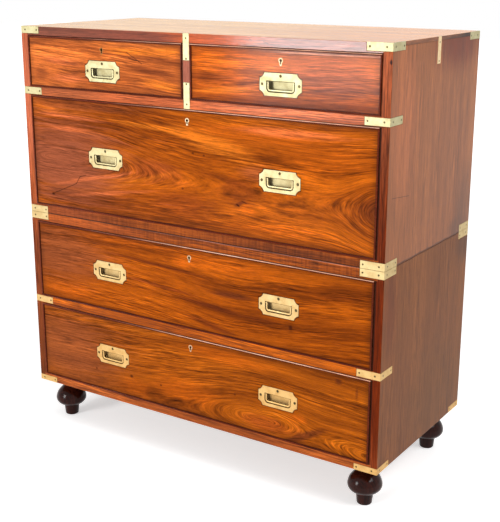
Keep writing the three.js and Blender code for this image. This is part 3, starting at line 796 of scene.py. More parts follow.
def inset(loop, distance):
    """The same outline, moved inwards. The loop runs anticlockwise."""
    made = []
    count = len(loop)
    for index, here in enumerate(loop):
        before = Vector(loop[index - 1])
        after = Vector(loop[(index + 1) % count])
        spot = Vector(here)
        first = (spot - before).normalized()
        second = (after - spot).normalized()
        middle = Vector((-first.y - second.y, first.x + second.x))
        made.append(tuple(spot + middle * (2 * distance / max(middle.length_squared, least_miter))))
    return made


def oblong(left, right, low, high):
    return [(left, low), (right, low), (right, high), (left, high)]


def ring(bm, loop, depth, place):
    made = [bm.verts.new(place(u, v, depth)) for u, v in loop]
    for index in range(len(made)):
        bm.edges.new((made[index - 1], made[index]))
    return made


def fill(bm, outlines):
    """A flat face inside the first outline, with the other outlines as holes."""
    edges = []
    for verts in outlines:
        for index in range(len(verts)):
            edges.append(bm.edges.get((verts[index - 1], verts[index])))
    bmesh.ops.triangle_fill(bm, use_beauty=True, use_dissolve=False, edges=edges)


def face_place(corner, across=(1, 0, 0), up=(0, 0, 1), inward=(0, 1, 0)):
    """Gives the place that is u across, v up and a depth under a face, from its corner."""
    def place(u, v, depth):
        return Vector(corner) + Vector(across) * u + Vector(up) * v + Vector(inward) * depth

    return place


def flat_plate(bm, body, place, loop, spots, thickness, ease, size=1.0, in_face=(), in_back=()):
    """A plate with an eased face, and a hole at each spot where a screw goes. What else is left
    open in its face and its back is given as rows of points. The places of the screws, the ways
    that their heads look and their size are kept for the screws' section."""
    face = ring(bm, inset(loop, ease), 0, place)
    back = ring(bm, loop, thickness, place)
    walls(bm, [face, ring(bm, loop, ease, place), back])
    mouths = [ring(bm, circle(u, v, mouth_radius * size, hole_steps), 0, place) for u, v in spots]
    throats = [ring(bm, circle(u, v, throat_radius * size, hole_steps), thickness, place) for u, v in spots]
    for mouth, throat in zip(mouths, throats):
        wall(bm, mouth, throat)
    fill(bm, [face, *in_face, *mouths])
    fill(bm, [back, *in_back, *throats])
    for u, v in spots:
        outward = (place(u, v, 0) - place(u, v, thickness)).normalized()
        screw_spots.setdefault(body, []).append((place(u, v, 0), outward, size))


cloud_fineness = (60.0, 60.0, 60.0)
speck_fineness = (620.0, 620.0, 620.0)
speck_edge = (0.6, 0.75)
rub_fineness = (2600.0, 300.0, 300.0)


def draw_wear(tree, given):
    """The wear of old brass: clouds of tarnish, small specks and the lines of rubbing."""
    shifted = vector(tree, "ADD", given["Place"], grey(tree, given["Seed"]))
    return {
        "Cloud": noise(tree, shifted, cloud_fineness, 4.0, 0.6),
        "Speck": spread(tree, noise(tree, shifted, speck_fineness), *speck_edge),
        "Rub": noise(tree, shifted, rub_fineness, 1.0),
    }


wear = shader_group("brass_wear", {"Place": origin, "Seed": 0.0}, draw_wear)
all_golden_below = 0.1
all_pale_above = 0.95
cloud_edge = (0.35, 0.7)
cloud_roughness = 0.25
smoothest_cloud = 0.12
speck_dark = 0.5
hollow_roughness = 4.0
most_hollow_roughness = 0.4
brass_relief_depth = 0.0001
shade_and_dirt_layer = "shade_and_dirt"


def brass(name, high, low, dull, dark, rough=0.52, tarnish=0.5, seed=0.0):
    """Old brass, more golden near the floor and paler higher up. Dirt and painted shade darken its hollows.
    """
    material, tree = new_material(name)
    spot = put(tree, "ShaderNodeTexCoord").outputs["Object"]
    worn = use(tree, wear, Place=spot, Seed=seed)
    skin = mix(tree, spread(tree, split(tree, spot)[2], all_golden_below, all_pale_above), low, high)
    skin = stain(tree, skin, spread(tree, worn["Cloud"], *cloud_edge), tarnish, dull, "MULTIPLY")
    skin = stain(tree, skin, worn["Speck"], speck_dark, dark)
    # The layer darkens the hollows with dirt and painted shade.
    hollow = put(tree, "ShaderNodeAttribute", attribute_name=shade_and_dirt_layer).outputs["Fac"]
    skin = mix(tree, hollow, skin, dark)
    roughness = calc(tree, "MULTIPLY_ADD", worn["Cloud"], cloud_roughness, rough - smoothest_cloud)
    hollowness = calc(tree, "MINIMUM", calc(tree, "MULTIPLY", hollow, hollow_roughness), most_hollow_roughness)
    looks = {"Base Color": skin, "Metallic": 1.0, "Roughness": calc(tree, "ADD", hollowness, roughness)}
    finish(tree, looks, calc(tree, "ADD", worn["Rub"], worn["Cloud"]), brass_relief_depth)
    return material


def brass_piece(name, bm, material, body, node=None, smooth_to=sharp_angle):
    bmesh.ops.recalc_face_normals(bm, faces=bm.faces)
    new_piece(name, bm, [material], body, node, smooth_to)


pale_brass = colour(181, 174, 136)
golden_brass = colour(208, 169, 108)
dulling = colour(226, 212, 190)
verdigris_and_shade = colour(70, 54, 28)
old_brass = (pale_brass, golden_brass, dulling, verdigris_and_shade)
strap_brass = brass("strap_brass", *old_brass, seed=1.0)


def corner_strap(name, body, side, end, low, width, node=None):
    """side is -1 at the left and 1 at the right; end is 1 at the front and -1 at the back."""
    corner = Vector((side * half_width, case_front if end > 0 else case_back, low))
    spots = [(screw_near, width / 2), (screw_far, width / 2)]
    to_middle = Vector((-side, 0, 0))
    to_other_end = Vector((0, end, 0))
    bm = bmesh.new()
    for along, inward in ((to_middle, to_other_end), (to_other_end, to_middle)):
        def place(u, v, depth):
            return corner + along * max(u, depth) + Vector((0, 0, v)) + inward * depth

        loop = oblong(0, strap_length, 0, width)
        flat_plate(bm, body, place, loop, spots, strap_thickness, strap_ease)
    brass_piece(name, bm, strap_brass, body, node)


front_straps = {
    "lower_case": ("lower_seam", "lower_rail", "base"),
    "upper_case": ("top", "upper_rail", "upper_seam"),
}
back_straps = {"lower_case": ("lower_seam", "base"), "upper_case": ("top", "upper_seam")}
sides = {"left": -1, "right": 1}

for body, heights in front_straps.items():
    for height in heights:
        for word, side in sides.items():
            node = f"{height}_strap_{word}"
            low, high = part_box(node)
            corner_strap(f"{node}_plate", body, side, 1, low.z, high.z - low.z, node)
            if height in back_straps[body]:
                corner_strap(f"{height}_back_strap_{word}", body, side, -1, low.z, high.z - low.z)

partition_strap_width = 0.0165
partition_strap_length = 0.058
partition_screws = (0.0105, 0.0545)
side_strap_width = 0.016
side_strap_screws = (0.012, 0.051)
rosy = colour(224, 200, 158)
rosy_brass = brass("side_strap_brass", rosy, rosy, dulling, verdigris_and_shade, seed=1.5)


def straight_strap(name, top, across, inward, width, length, screws, metal, rise=-1):
    """A straight strap that hangs down from its top end, or stands on it with a rise of 1."""
    bm = bmesh.new()
    place = face_place(top, Vector(across) * rise, (0, 0, rise), inward)
    loop = oblong(-width / 2, width / 2, 0, length)
    flat_plate(bm, "upper_case", place, loop, [(0, v) for v in screws], strap_thickness, strap_ease)
    brass_piece(name, bm, metal, "upper_case")


rail_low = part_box("upper_rail")[0].z
partition_strap = (partition_strap_width, partition_strap_length, partition_screws, strap_brass)
for name, height, rise in (("partition_strap_upper", chest_top, -1), ("partition_strap_lower", rail_low, 1)):
    straight_strap(name, (0, case_front, height), (1, 0, 0), (0, 1, 0), *partition_strap, rise)
side_strap = (side_strap_width, strap_length, side_strap_screws, rosy_brass)
for word, side in sides.items():
    top_end = (side * half_width, (case_front + case_back) / 2, chest_top)
    straight_strap(f"side_strap_{word}", top_end, (0, side, 0), (-side, 0, 0), *side_strap)

# Drawer boxes: pale hardwood linings, sides dovetailed into the front, a back and a bottom.
# They were only planed smooth, never polished.
lining_ease = 0.0006
shortest_lining_edge = 0.02
lining_turn = 0.7
lining_wood = wood(
    "lining_wood", "inward", streaks(178, 136, 88, 0.5), seed=6.0, rough=0.62, contrast=0.7, gloss=0.2,
    turn=lining_turn,
)
drawers = ("base", "middle", "deep", "short_left", "short_right")
for drawer in drawers:
    bm = node_copy(f"{drawer}_box")
    ease_edges(bm, lining_ease, shortest_lining_edge)
    new_piece(f"{drawer}_linings", bm, [lining_wood], f"{drawer}_drawer", f"{drawer}_box")

# Drawer fronts: figured mahogany boards, each with a cock bead standing proud all round its edge.
# The bead is a separate strip, rounded on its face and mitred at the corners. Each front has its
# own figure: arches, knots and patches, placed along and up from its middle in millimetres.
bead_width = 0.0034
bead_proud = 0.003
bead_sunk = 0.0004
bead_steps = 8
bead_smooth = math.radians(50)
flank_turn = 0.1
glint_turn = 0.3
key_drop = 0.024
key_shadow_width = 0.005
key_shadow_drop = 0.006
skin_depth = 0.00002
crack_width = 0.0016
crack_waver = 0.004
plate_scoop = 0.0103
mm = 0.001

dark = colour(108, 44, 14)
brown = colour(90, 38, 18)
knot = colour(62, 22, 10)
shaded = colour(150, 66, 20)
bright = colour(210, 98, 16)
glowing = colour(232, 122, 30)
# Pink is a painted sheen: a pinkish reflection laid into the colour at the left of the fronts and the upper
# right of the deep one.
sheen_pink = colour(222, 112, 62)
# Dull is a painted haze: a pale reflection on the polish of the deep front, laid into its colour.
dull = colour(142, 74, 48)
shadow = colour(136, 70, 38)
# Plum is a painted haze as well, over the left of the deep front.
haze_plum = colour(136, 71, 47)
chestnut = colour(138, 60, 14)
russet = colour(146, 66, 24)
# Copper is a painted haze: a pinkish reflection over the right of the short right front.
haze_copper = colour(172, 82, 44)
# Blush is a painted highlight: the pale band of a lamp's reflection along the top of the short right front.
highlight_blush = colour(240, 160, 128)

# Each patch: along, up, its reach along and up, its fall to the right, its strength and its shade
figures = {
    "deep": {
        "seed": 21.0, "shade": (166, 78, 11), "gloss": 0.04,
        "rings": {
            "Lean": 0.03, "Wander": 0.022, "Axis": -0.024, "Rise": 0.06, "First_Dip": -0.366,
            "First_Reach": 0.22, "Second_Dip": 0.515, "Second_Reach": 0.08,
        },
        "patches": [
            (-386, -21, 240, 129, 0, 0.9, haze_plum), (-330, 122, 260, 14, 0, 0.4, dull),
            (-330, 90, 130, 6, 0.02, 0.6, sheen_pink), (-356, 63, 79, 8, 0, 0.6, sheen_pink),
            (-110, 88, 120, 8, 0.06, 0.75, glowing), (-290, 48, 120, 7, 0.06, 0.5, dull),
            (60, 66, 140, 26, 0.2, 0.8, glowing), (198, 97, 198, 25, 0, 0.5, bright),
            (346, 58, 119, 59, 0, 0.35, bright), (0, 68, 59, 5, 0.15, 0.4, dark),
            (-50, 3, 70, 4, 0.02, 0.5, dark), (139, -31, 59, 40, 0, 0.6, dark),
            (99, -7, 89, 10, 0.1, 0.5, dark), (-20, -81, 109, 34, 0, 0.8, chestnut),
            (-100, -10, 90, 34, 0, 0.8, russet), (218, -106, 149, 12, -0.06, 0.5, bright),
            (460, -31, 46, 34, 0, 0.7, dark), (270, 106, 160, 12, 0, 0.6, sheen_pink),
            (200, 10, 70, 22, 0, 0.5, dull), (160, -70, 22, 12, 0, 0.7, bright),
            (-230, 40, 120, 8, 0, 0.4, dark), (139, -60, 16, 6, -0.5, 0.7, brown),
            (136, -64, 6, 3, 0.4, 0.9, knot), (152, -55, 9, 2, 0.3, 0.7, knot), (15, 40, 4, 3, 0, 0.7, knot),
            (45, 38, 4, 3, 0, 0.7, knot), (-15, -44, 4, 3, 0, 0.6, knot), (-416, -103, 6, 4, 0, 0.8, knot),
            (-290, -52, 150, 6, -0.22, 0.4, sheen_pink), (-240, -82, 170, 6, -0.16, 0.4, sheen_pink),
            (-140, -40, 110, 7, -0.3, 0.3, glowing),
        ],
        "cracks": [[(-416, -103), (-378, -86), (-337, -69), (-325, -51), (-305, -46)]],
    },
    "middle": {
        "seed": 32.0, "shade": (158, 73, 8), "gloss": 0.03,
        "rings": {"Lean": -0.02, "Wander": 0.02},
        "bends": [(148, -30, 257, 120, 0, 0.03)],
        "patches": [
            (-99, 43, 178, 5, 0.05, 0.8, dark), (119, 5, 69, 10, 0, 0.8, brown),
            (-90, -8, 130, 6, 0.08, 0.8, dark), (59, -32, 120, 8, 0.08, 0.9, dark),
            (198, -40, 59, 10, 0, 0.6, dark), (59, -77, 80, 10, 0.18, 0.8, dark),
            (396, 48, 59, 4, -0.1, 0.4, dark), (-366, -69, 89, 20, 0, 0.6, bright),
            (-198, 84, 198, 10, 0, 0.5, bright), (99, 69, 149, 20, 0, 0.5, bright),
            (-20, 64, 40, 20, 0, 0.5, bright), (-410, 24, 200, 80, 0, 0.75, shadow),
            (274, -42, 7, 8, 0, 0.8, knot),
        ],
    },
    "base": {
        "seed": 43.0, "shade": (158, 77, 12), "gloss": 0.03,
        "rings": {
            "Lean": -0.01, "Wander": 0.02, "Axis": -0.112, "Rise": 0.045, "First_Dip": 0.198,
            "First_Reach": 0.11, "Second_Dip": 0.505, "Second_Reach": 0.13,
        },
        "bends": [(198, -70, 347, 200, 0, -0.045)],
        "patches": [
            (-380, -10, 200, 110, 0, 0.75, shadow), (-20, -44, 109, 40, 0, 0.5, bright),
            (215, -70, 90, 26, 0, 0.75, shaded), (-168, -69, 59, 30, 0, 0.4, bright),
            (99, 70, 149, 20, 0, 0.5, bright), (312, -73, 69, 13, -0.5, 0.8, brown),
            (297, -34, 25, 12, 0, 0.6, bright), (-183, -41, 7, 5, 0, 0.8, knot),
            (126, -16, 4, 3, 0, 0.7, knot), (-297, -45, 4, 3, 0, 0.7, knot), (-91, -44, 4, 3, 0, 0.7, knot),
            (396, 78, 10, 8, 0, 0.7, brown), (441, 60, 4, 18, 0, 0.5, brown),
        ],
    },
    "short_left": {
        "seed": 54.0, "shade": (188, 94, 36), "gloss": 0.1,
        "rings": {"Lean": 0.06, "Wander": 0.02},
        "patches": [
            (113, 37, 109, 10, 0, 0.7, glowing), (193, 42, 40, 12, 0, 0.6, glowing),
            (173, -34, 69, 12, 0.1, 0.7, glowing), (-124, 3, 79, 10, 0.08, 0.6, sheen_pink),
            (-104, -34, 69, 12, 0, 0.6, sheen_pink), (143, -4, 89, 11, 0.1, 0.7, dark),
            (-193, -27, 25, 20, 0, 0.5, dark), (-65, -20, 50, 8, 0, 0.5, dark),
            (-5, -42, 59, 7, 0, 0.5, dark), (-193, 47, 59, 8, 0, 0.4, dark),
        ],
        "cracks": [[(74, 35), (118, 11)], [(80, 22), (110, 16)]],
    },
    "short_right": {
        "seed": 65.0, "shade": (188, 86, 18), "gloss": 0.075,
        "rings": {"Lean": 0.0, "Wander": 0.02},
        "patches": [
            (-183, 35, 59, 12, 0, 0.7, bright), (-143, -34, 89, 8, -0.05, 0.7, glowing),
            (-183, -7, 59, 14, 0, 0.6, dark), (-74, 10, 50, 8, 0, 0.6, brown),
            (144, -17, 89, 6, -0.08, 0.6, brown), (-24, -42, 69, 6, 0, 0.4, dark),
            (120, 22, 150, 50, 0, 0.7, haze_copper), (90, 56, 170, 5, 0, 0.9, highlight_blush),
            (60, 4, 110, 7, 0.03, 0.6, dark),
        ],
    },
}


def front_board(node):
    """The node's front with its bead planed off flush, to take a bead of its own. Only its face is
    polished."""
    bm = node_copy(node)
    bmesh.ops.bisect_plane(
        bm, geom=[*bm.verts, *bm.edges, *bm.faces], dist=weld, plane_co=(0, case_front + skin_depth, 0),
        plane_no=(0, -1, 0), clear_outer=True,
    )
    rim_edges = [edge for edge in bm.edges if edge.is_boundary]
    bmesh.ops.triangle_fill(bm, use_beauty=True, use_dissolve=False, edges=rim_edges)
    bmesh.ops.dissolve_limit(bm, angle_limit=flat_angle, verts=bm.verts, edges=bm.edges)
    bmesh.ops.recalc_face_normals(bm, faces=bm.faces)
    for face in bm.faces:
        face.material_index = 0 if face.normal.y < -mostly else 1
    return bm


def cock_bead(low, high):
    """A rounded strip round the edge of a front, between its lowest and highest corners. Its flanks are
    painted dark as shade, and the top of its upper strip carries a painted glint."""
    radius = bead_width / 2
    profile = [(0, bead_sunk)]
    profile += arc(radius, radius - bead_proud, radius, math.pi, 2 * math.pi, bead_steps)
    profile.append((bead_width, bead_sunk))
    bm = bmesh.new()
    rows = []
    for inwards, forward in profile:
        corners = oblong(low.x + inwards, high.x - inwards, low.z + inwards, high.z - inwards)
        rows.append([bm.verts.new((x, case_front + forward, z)) for x, z in corners])
    walls(bm, rows + rows[:1])
    bmesh.ops.recalc_face_normals(bm, faces=bm.faces)
    for face in bm.faces:
        if face.normal.y > -flank_turn:
            face.material_index = 1
        elif face.normal.z > glint_turn and face.calc_center_median().z > high.z - bead_width:
            face.material_index = 2
    return bm


def handles_of(drawer):
    words = ("left_", "right_") if drawer in ("base", "middle", "deep") else ("",)
    return [f"{drawer}_{word}handle" for word in words]


def in_metres(rows):
    """Rows of a place and its reach in millimetres, and of what follows them."""
    return [((x * mm, z * mm), (wide * mm, high * mm), *rest) for x, z, wide, high, *rest in rows]


def figured_wood(drawer, centre, half_size):
    """The wood of one front, with dirt and painted shade in the corners of its bead and round its plates,
    and a painted shadow in its keyhole.
    """
    figure = figures[drawer]
    post = half_size.z - key_drop
    # A painted shadow on the wood seen through the keyhole comes first, then the cracks.
    marks = [((0.0, post), (0.0, post - key_shadow_drop), key_shadow_width, 0.0)]
    for line in figure.get("cracks", ()):
        for (x, z), (next_x, next_z) in zip(line, line[1:]):
            marks.append(((x * mm, z * mm), (next_x * mm, next_z * mm), crack_width, crack_waver))
    plates = []
    for handle in handles_of(drawer):
        low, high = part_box(f"{handle}_plate")
        spot = (low + high) / 2 - centre
        plates.append(((spot.x, spot.z), ((high.x - low.x) / 2, (high.z - low.z) / 2), plate_scoop))
    return wood(
        f"{drawer}_front_wood", "sideways", streaks(*figure["shade"]), middle=centre, rough=0.1,
        half=(half_size.x - bead_width, half_size.z - bead_width, 1.0), rings=figure["rings"],
        bends=in_metres(figure.get("bends", ())), tints=in_metres(figure["patches"]), marks=marks,
        plates=plates, seed=figure["seed"], gloss=figure["gloss"],
    )


bead_finish = {"rough": 0.12, "contrast": 0.6}
# The painted glint on the top bead: pale wood on the right, darkened back to bead colour towards the left.
glint_fade_tints = [((-0.42, 0.6), (0.42, 3), 0, 1, colour(112, 44, 26))]
bead_wood = wood("bead_wood", "sideways", streaks(96, 36, 16), seed=9.0, gloss=0.06, **bead_finish)
glint_bead_wood = wood(
    "painted_glint_bead_wood", "sideways", streaks(250, 192, 160, 0.5), tints=glint_fade_tints, seed=9.2, gloss=0.15,
    **bead_finish,
)
# The bead's flanks, which face into the gap round a front, are painted near black as shade.
flank_shadow_shades = streaks(40, 16, 10)
flank_shadow_wood = wood("bead_flank_shadow_wood", "sideways", flank_shadow_shades, seed=9.5, rough=0.4, contrast=0.6, gloss=0.1)
for drawer in drawers:
    node = f"{drawer}_front"
    body = f"{drawer}_drawer"
    low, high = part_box(node)
    front_wood = figured_wood(drawer, (low + high) / 2, (high - low) / 2)
    new_piece(f"{drawer}_front_board", front_board(node), [front_wood, raw_wood], body, node)
    bead_woods = [bead_wood, flank_shadow_wood, glint_bead_wood]
    new_piece(f"{drawer}_bead", cock_bead(low, high), bead_woods, body, smooth_to=bead_smooth)

# Locks: a brass plate screwed to the back of each front, a brass escutcheon let in flush round the
# keyhole, and a steel bolt that rises into the board above. A keyhole is a round with a tail.
key_post = 0.003
key_width = 0.0026
key_low = 0.0082
tail_steps = 8
head_steps = 24
escutcheon_head = 0.0116
escutcheon_tail_width = 0.0058
escutcheon_low = 0.0118
escutcheon_thickness = 0.0029
escutcheon_ease = 0.0002
keyhole_shade = 0.95
lock_plate_width = 0.062
lock_plate_height = 0.042
lock_plate_thickness = 0.0014
lock_plate_drop = 0.003
lock_screw_inset = 0.006
bolt_ease = 0.0005
shortest_bolt_edge = 0.004

soot_and_keyhole_shade = colour(24, 12, 6)
tan = colour(128, 86, 48)
steel = colour(150, 144, 134)
bright_escutcheon = brass(
    "escutcheon_brass", colour(160, 142, 112), colour(196, 156, 120), dulling, soot_and_keyhole_shade, rough=0.4, seed=4.0,
)
dark_escutcheon = brass("dark_escutcheon_brass", tan, tan, dulling, soot_and_keyhole_shade, rough=0.45, seed=5.0)
bolt_steel = brass("bolt_steel", steel, steel, dulling, colour(70, 54, 42), rough=0.4, seed=7.0)


def key_loop(radius, half, low):
    """A round with a round-ended tail below it, anticlockwise, about the middle of the round."""
    join = -math.acos(half / radius)
    tail = arc(0, half - low, half, math.pi, 2 * math.pi, tail_steps)
    return tail + arc(0, 0, radius, join, math.pi - join, head_steps)


def escutcheon_plate(place, body):
    bm = bmesh.new()
    shade_and_dirt = bm.verts.layers.float.new(shade_and_dirt_layer)
    hole = key_loop(key_post, key_width / 2, key_low)
    rows = [ring(bm, hole, depth, place) for depth in (0, escutcheon_ease, escutcheon_thickness)]
    walls(bm, rows)
    # The keyhole's walls are painted dark as shade.
    for vert in rows[1] + rows[2]:
        vert[shade_and_dirt] = keyhole_shade
    outline = key_loop(escutcheon_head / 2, escutcheon_tail_width / 2, escutcheon_low)
    sizes = (escutcheon_thickness, escutcheon_ease)
    flat_plate(bm, body, place, outline, [], *sizes, in_face=rows[:1], in_back=rows[-1:])
    return bm


for drawer in drawers:
    body = f"{drawer}_drawer"
    low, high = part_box(f"{drawer}_front")
    bolt_low, bolt_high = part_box(f"{drawer}_lock_bolt")
    middle = (bolt_low.x + bolt_high.x) / 2
    on_face = face_place((middle, case_front, high.z - key_drop))
    key_brass = dark_escutcheon if drawer == "short_left" else bright_escutcheon
    brass_piece(f"{drawer}_escutcheon", escutcheon_plate(on_face, body), key_brass, body)

    plate_corner = (middle, high.y + lock_plate_thickness, high.z - lock_plate_drop)
    on_back = face_place(plate_corner, across=(-1, 0, 0), inward=(0, -1, 0))
    half_plate = lock_plate_width / 2
    outline = oblong(-half_plate, half_plate, -lock_plate_height, 0)
    spots = [
        (u, v) for u in (-half_plate + lock_screw_inset, half_plate - lock_screw_inset)
        for v in (-lock_screw_inset, lock_screw_inset - lock_plate_height)
    ]
    bm = bmesh.new()
    flat_plate(bm, body, on_back, outline, spots, lock_plate_thickness, strap_ease)
    brass_piece(f"{drawer}_lock_plate", bm, strap_brass, body)

for drawer in drawers:
    bm = node_copy(f"{drawer}_lock_bolt")
    ease_edges(bm, bolt_ease, shortest_bolt_edge)
    new_piece(f"{drawer}_bolt", bm, [bolt_steel], f"{drawer}_bolt", f"{drawer}_lock_bolt")

# Recessed handles: a cast brass plate with scooped corners and a cup soldered behind it, let in
# flush and held by three screws. A square-cornered bail hangs in the cup from two pins.
plate_half = (0.05125, 0.02425)
plate_thickness = 0.002
scoop_reach = 0.0115
scoop_radius = 0.016
scoop_steps = 12
recess_half = 0.034
recess_rise = 0.0085
recess_height = 0.0225
recess_corner = 0.008
recess_depth = 0.0115
recess_low = recess_rise - plate_half[1]
recess_high = recess_low + recess_height
cup_wall = 0.0013
cup_fillet = 0.0022
fillet_steps = 4
lip = 0.0003
dirt_and_shade_rim = 0.0007
# How dark the recess is painted from its rim to its floor, at its left end and elsewhere: dirt and painted
# shade, with a painted shadow deepest on the left wall
left_shade_and_dirt = (0.0, 0.75, 0.95, 0.95, 0.35, 0.08, 0.02, 0.02)
other_shade_and_dirt = (0.0, 0.75, 0.95, 0.5, 0.15, 0.05, 0.02, 0.02)
plate_ease = 0.0004
plate_screws = [(-0.045, 0.0), (0.045, 0.0), (0.0, 0.0182)]
screw_size = 1.5
bail_gap = 0.001
bail_bar = 0.0042
# The back of the bail, which faces into the cup, is painted dark as shade, fading out towards its face.
bail_back_shade = 0.9
bail_back_shade_fade = 1 / 3
bail_smooth = math.radians(50)
bail_squareness = 3.6
bail_profile_steps = 20
corner_steps = 10
bail_end_steps = 5
end_height_share = 0.999
smallest_end = 0.05
pivot_drop = 0.0029
bail_setback = 0.0003
pin_radius = 0.0014
pin_steps = 16


def scooped_loop():
    """The plate's outline, anticlockwise. Each scoop is an arc about a point beyond its corner."""
    x, z = plate_half
    beyond = (math.sqrt(2 * scoop_radius ** 2 - scoop_reach ** 2) - scoop_reach) / 2
    lean = math.atan2(beyond, scoop_reach + beyond)
    points = []
    for across, up, quarters in ((1, -1, 2), (1, 1, 3), (-1, 1, 4), (-1, -1, 1)):
        first = quarters * math.pi / 2 - lean
        last = (quarters - 1) * math.pi / 2 + lean
        points += arc(across * (x + beyond), up * (z + beyond), scoop_radius, first, last, scoop_steps)
    return points


def round_bottom(half, low, radius):
    """The two bottom corners of the recess or of the bail, from left to right."""
    left = arc(radius - half, low + radius, radius, math.pi, 3 * math.pi / 2, corner_steps)
    return left + arc(half - radius, low + radius, radius, 3 * math.pi / 2, 2 * math.pi, corner_steps)


def recess_loop(grow):
    """The recess, anticlockwise from its top right corner: square above and round below."""
    half = recess_half + grow
    high = recess_high + grow
    return [(half, high), (-half, high), *round_bottom(half, recess_low - grow, recess_corner + grow)]


def handle_plate(place, body):
    bm = bmesh.new()
    shade_and_dirt = bm.verts.layers.float.new(shade_and_dirt_layer)
    steps = [(lip + dirt_and_shade_rim, 0), (lip, 0), (0, lip)]
    for step in range(fillet_steps + 1):
        turn = math.pi / 2 * step / fillet_steps
        steps.append((cup_fillet * (math.cos(turn) - 1), recess_depth - cup_fillet * (1 - math.sin(turn))))
    inside = [ring(bm, recess_loop(grow), depth, place) for grow, depth in steps]
    cup_ends = (plate_thickness, recess_depth + cup_wall)
    outside = [ring(bm, recess_loop(cup_wall), depth, place) for depth in cup_ends]
    for rows in (inside, outside):
        walls(bm, rows)
        bm.faces.new(rows[-1])
    flat_plate(
        bm, body, place, scooped_loop(), plate_screws, plate_thickness, plate_ease, screw_size,
        in_face=inside[:1], in_back=outside[:1],
    )
    # Each row takes dirt and painted shade; the left wall takes a deeper painted shadow.
    for row, left_hollowness, hollowness in zip(inside, left_shade_and_dirt, other_shade_and_dirt):
        left = min(vert.co.x for vert in row) + recess_corner / 2
        for vert in row:
            vert[shade_and_dirt] = left_hollowness if vert.co.x < left else hollowness
    return bm


def bail_path():
    """The bail's centre line, down one side, along the bottom and up the other, about its pivot."""
    sunk = bail_gap + bail_bar / 2
    half = recess_half - sunk
    low = recess_low + sunk - recess_high + pivot_drop
    return [(-half, 0.0), *round_bottom(half, low, recess_corner - sunk), (half, 0.0)]


def bail_section(scale):
    """A bar's section, nearly square with well-rounded corners, as shares of the bar."""
    points = []
    for step in range(bail_profile_steps):
        turn = 2 * math.pi * step / bail_profile_steps
        ways = (math.cos(turn), math.sin(turn))
        across, out = (math.copysign(abs(way) ** (2 / bail_squareness), way) for way in ways)
        points.append((across * bail_bar / 2 * scale, out * bail_bar / 2))
    return points


def handle_bail(place):
    """place(u, v, depth) is measured from the pivot line, half the bar behind the bail's face."""
    bm = bmesh.new()
    shade_and_dirt = bm.verts.layers.float.new(shade_and_dirt_layer)
    path = bail_path()
    stations = []
    for index, spot in enumerate(path):
        before = Vector(path[max(index - 1, 0)])
        after = Vector(path[min(index + 1, len(path) - 1)])
        stations.append((Vector(spot), (after - before).normalized(), 1.0))
    for step in range(1, bail_end_steps + 1):
        turn = math.pi / 2 * step / bail_end_steps
        rise = bail_bar / 2 * math.sin(turn) * end_height_share
        scale = max(math.cos(turn), smallest_end)
        stations.insert(0, (Vector((path[0][0], rise)), Vector((0, -1)), scale))
        stations.append((Vector((path[-1][0], rise)), Vector((0, 1)), scale))
    rows = []
    for spot, ahead, scale in stations:
        sideways = Vector((-ahead.y, ahead.x))
        row = []
        for across, out in bail_section(scale):
            row.append(bm.verts.new(place(*(spot + sideways * across), out)))
            row[-1][shade_and_dirt] = bail_back_shade * min(max(out / bail_bar / bail_back_shade_fade + 1, 0.0), 1.0)
        rows.append(row)
    walls(bm, rows)
    bm.faces.new(rows[0])
    bm.faces.new(rows[-1])
    for side in (-1, 1):
        pin = []
        for out in (path[-1][0], recess_half + cup_wall):
            outline = circle(0, 0, pin_radius, pin_steps)
            pin.append([bm.verts.new(place(side * out, v, depth)) for v, depth in outline])
        wall(bm, *pin)
        bm.faces.new(pin[0])
        bm.faces.new(pin[1])
    return bm


plate_brass = brass("plate_brass", *old_brass, rough=0.52, tarnish=0.6, seed=2.0)
bail_brass = brass("bail_brass", *old_brass, rough=0.45, tarnish=0.4, seed=3.0)

for drawer in drawers:
    body = f"{drawer}_drawer"
    for handle in handles_of(drawer):
        low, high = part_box(f"{handle}_plate")
        centre = (low + high) / 2
        on_plate = face_place((centre.x, case_front, centre.z))
        pivot_height = centre.z + recess_high - pivot_drop
        on_pivot = face_place((centre.x, case_front + bail_setback + bail_bar / 2, pivot_height))
        brass_piece(f"{handle}_casting", handle_plate(on_plate, body), plate_brass, body, f"{handle}_plate")
        bail = f"{handle}_bail"
        brass_piece(f"{bail}_bar", handle_bail(on_pivot), bail_brass, bail, bail, bail_smooth)

# Screws: countersunk brass wood screws, filed flush, their slots full of old polish. Each body's
# screws are one group, set at the places that its straps, plates and locks left for them.
head_radius = 0.0021
head_depth = 0.0014
head_sunk = 0.0001
head_steps = 20
shank_share = 0.5
slot_width = 0.0006
slot_depth = 0.0005
slot_length_share = 2.4
screw_seed = 5
screw_shade = colour(86, 76, 52)
slot_grime = colour(40, 28, 16)
screw_brass = brass(
    "screw_brass", screw_shade, screw_shade, dulling, slot_grime, rough=0.42, tarnish=0.7, seed=9.0,
)


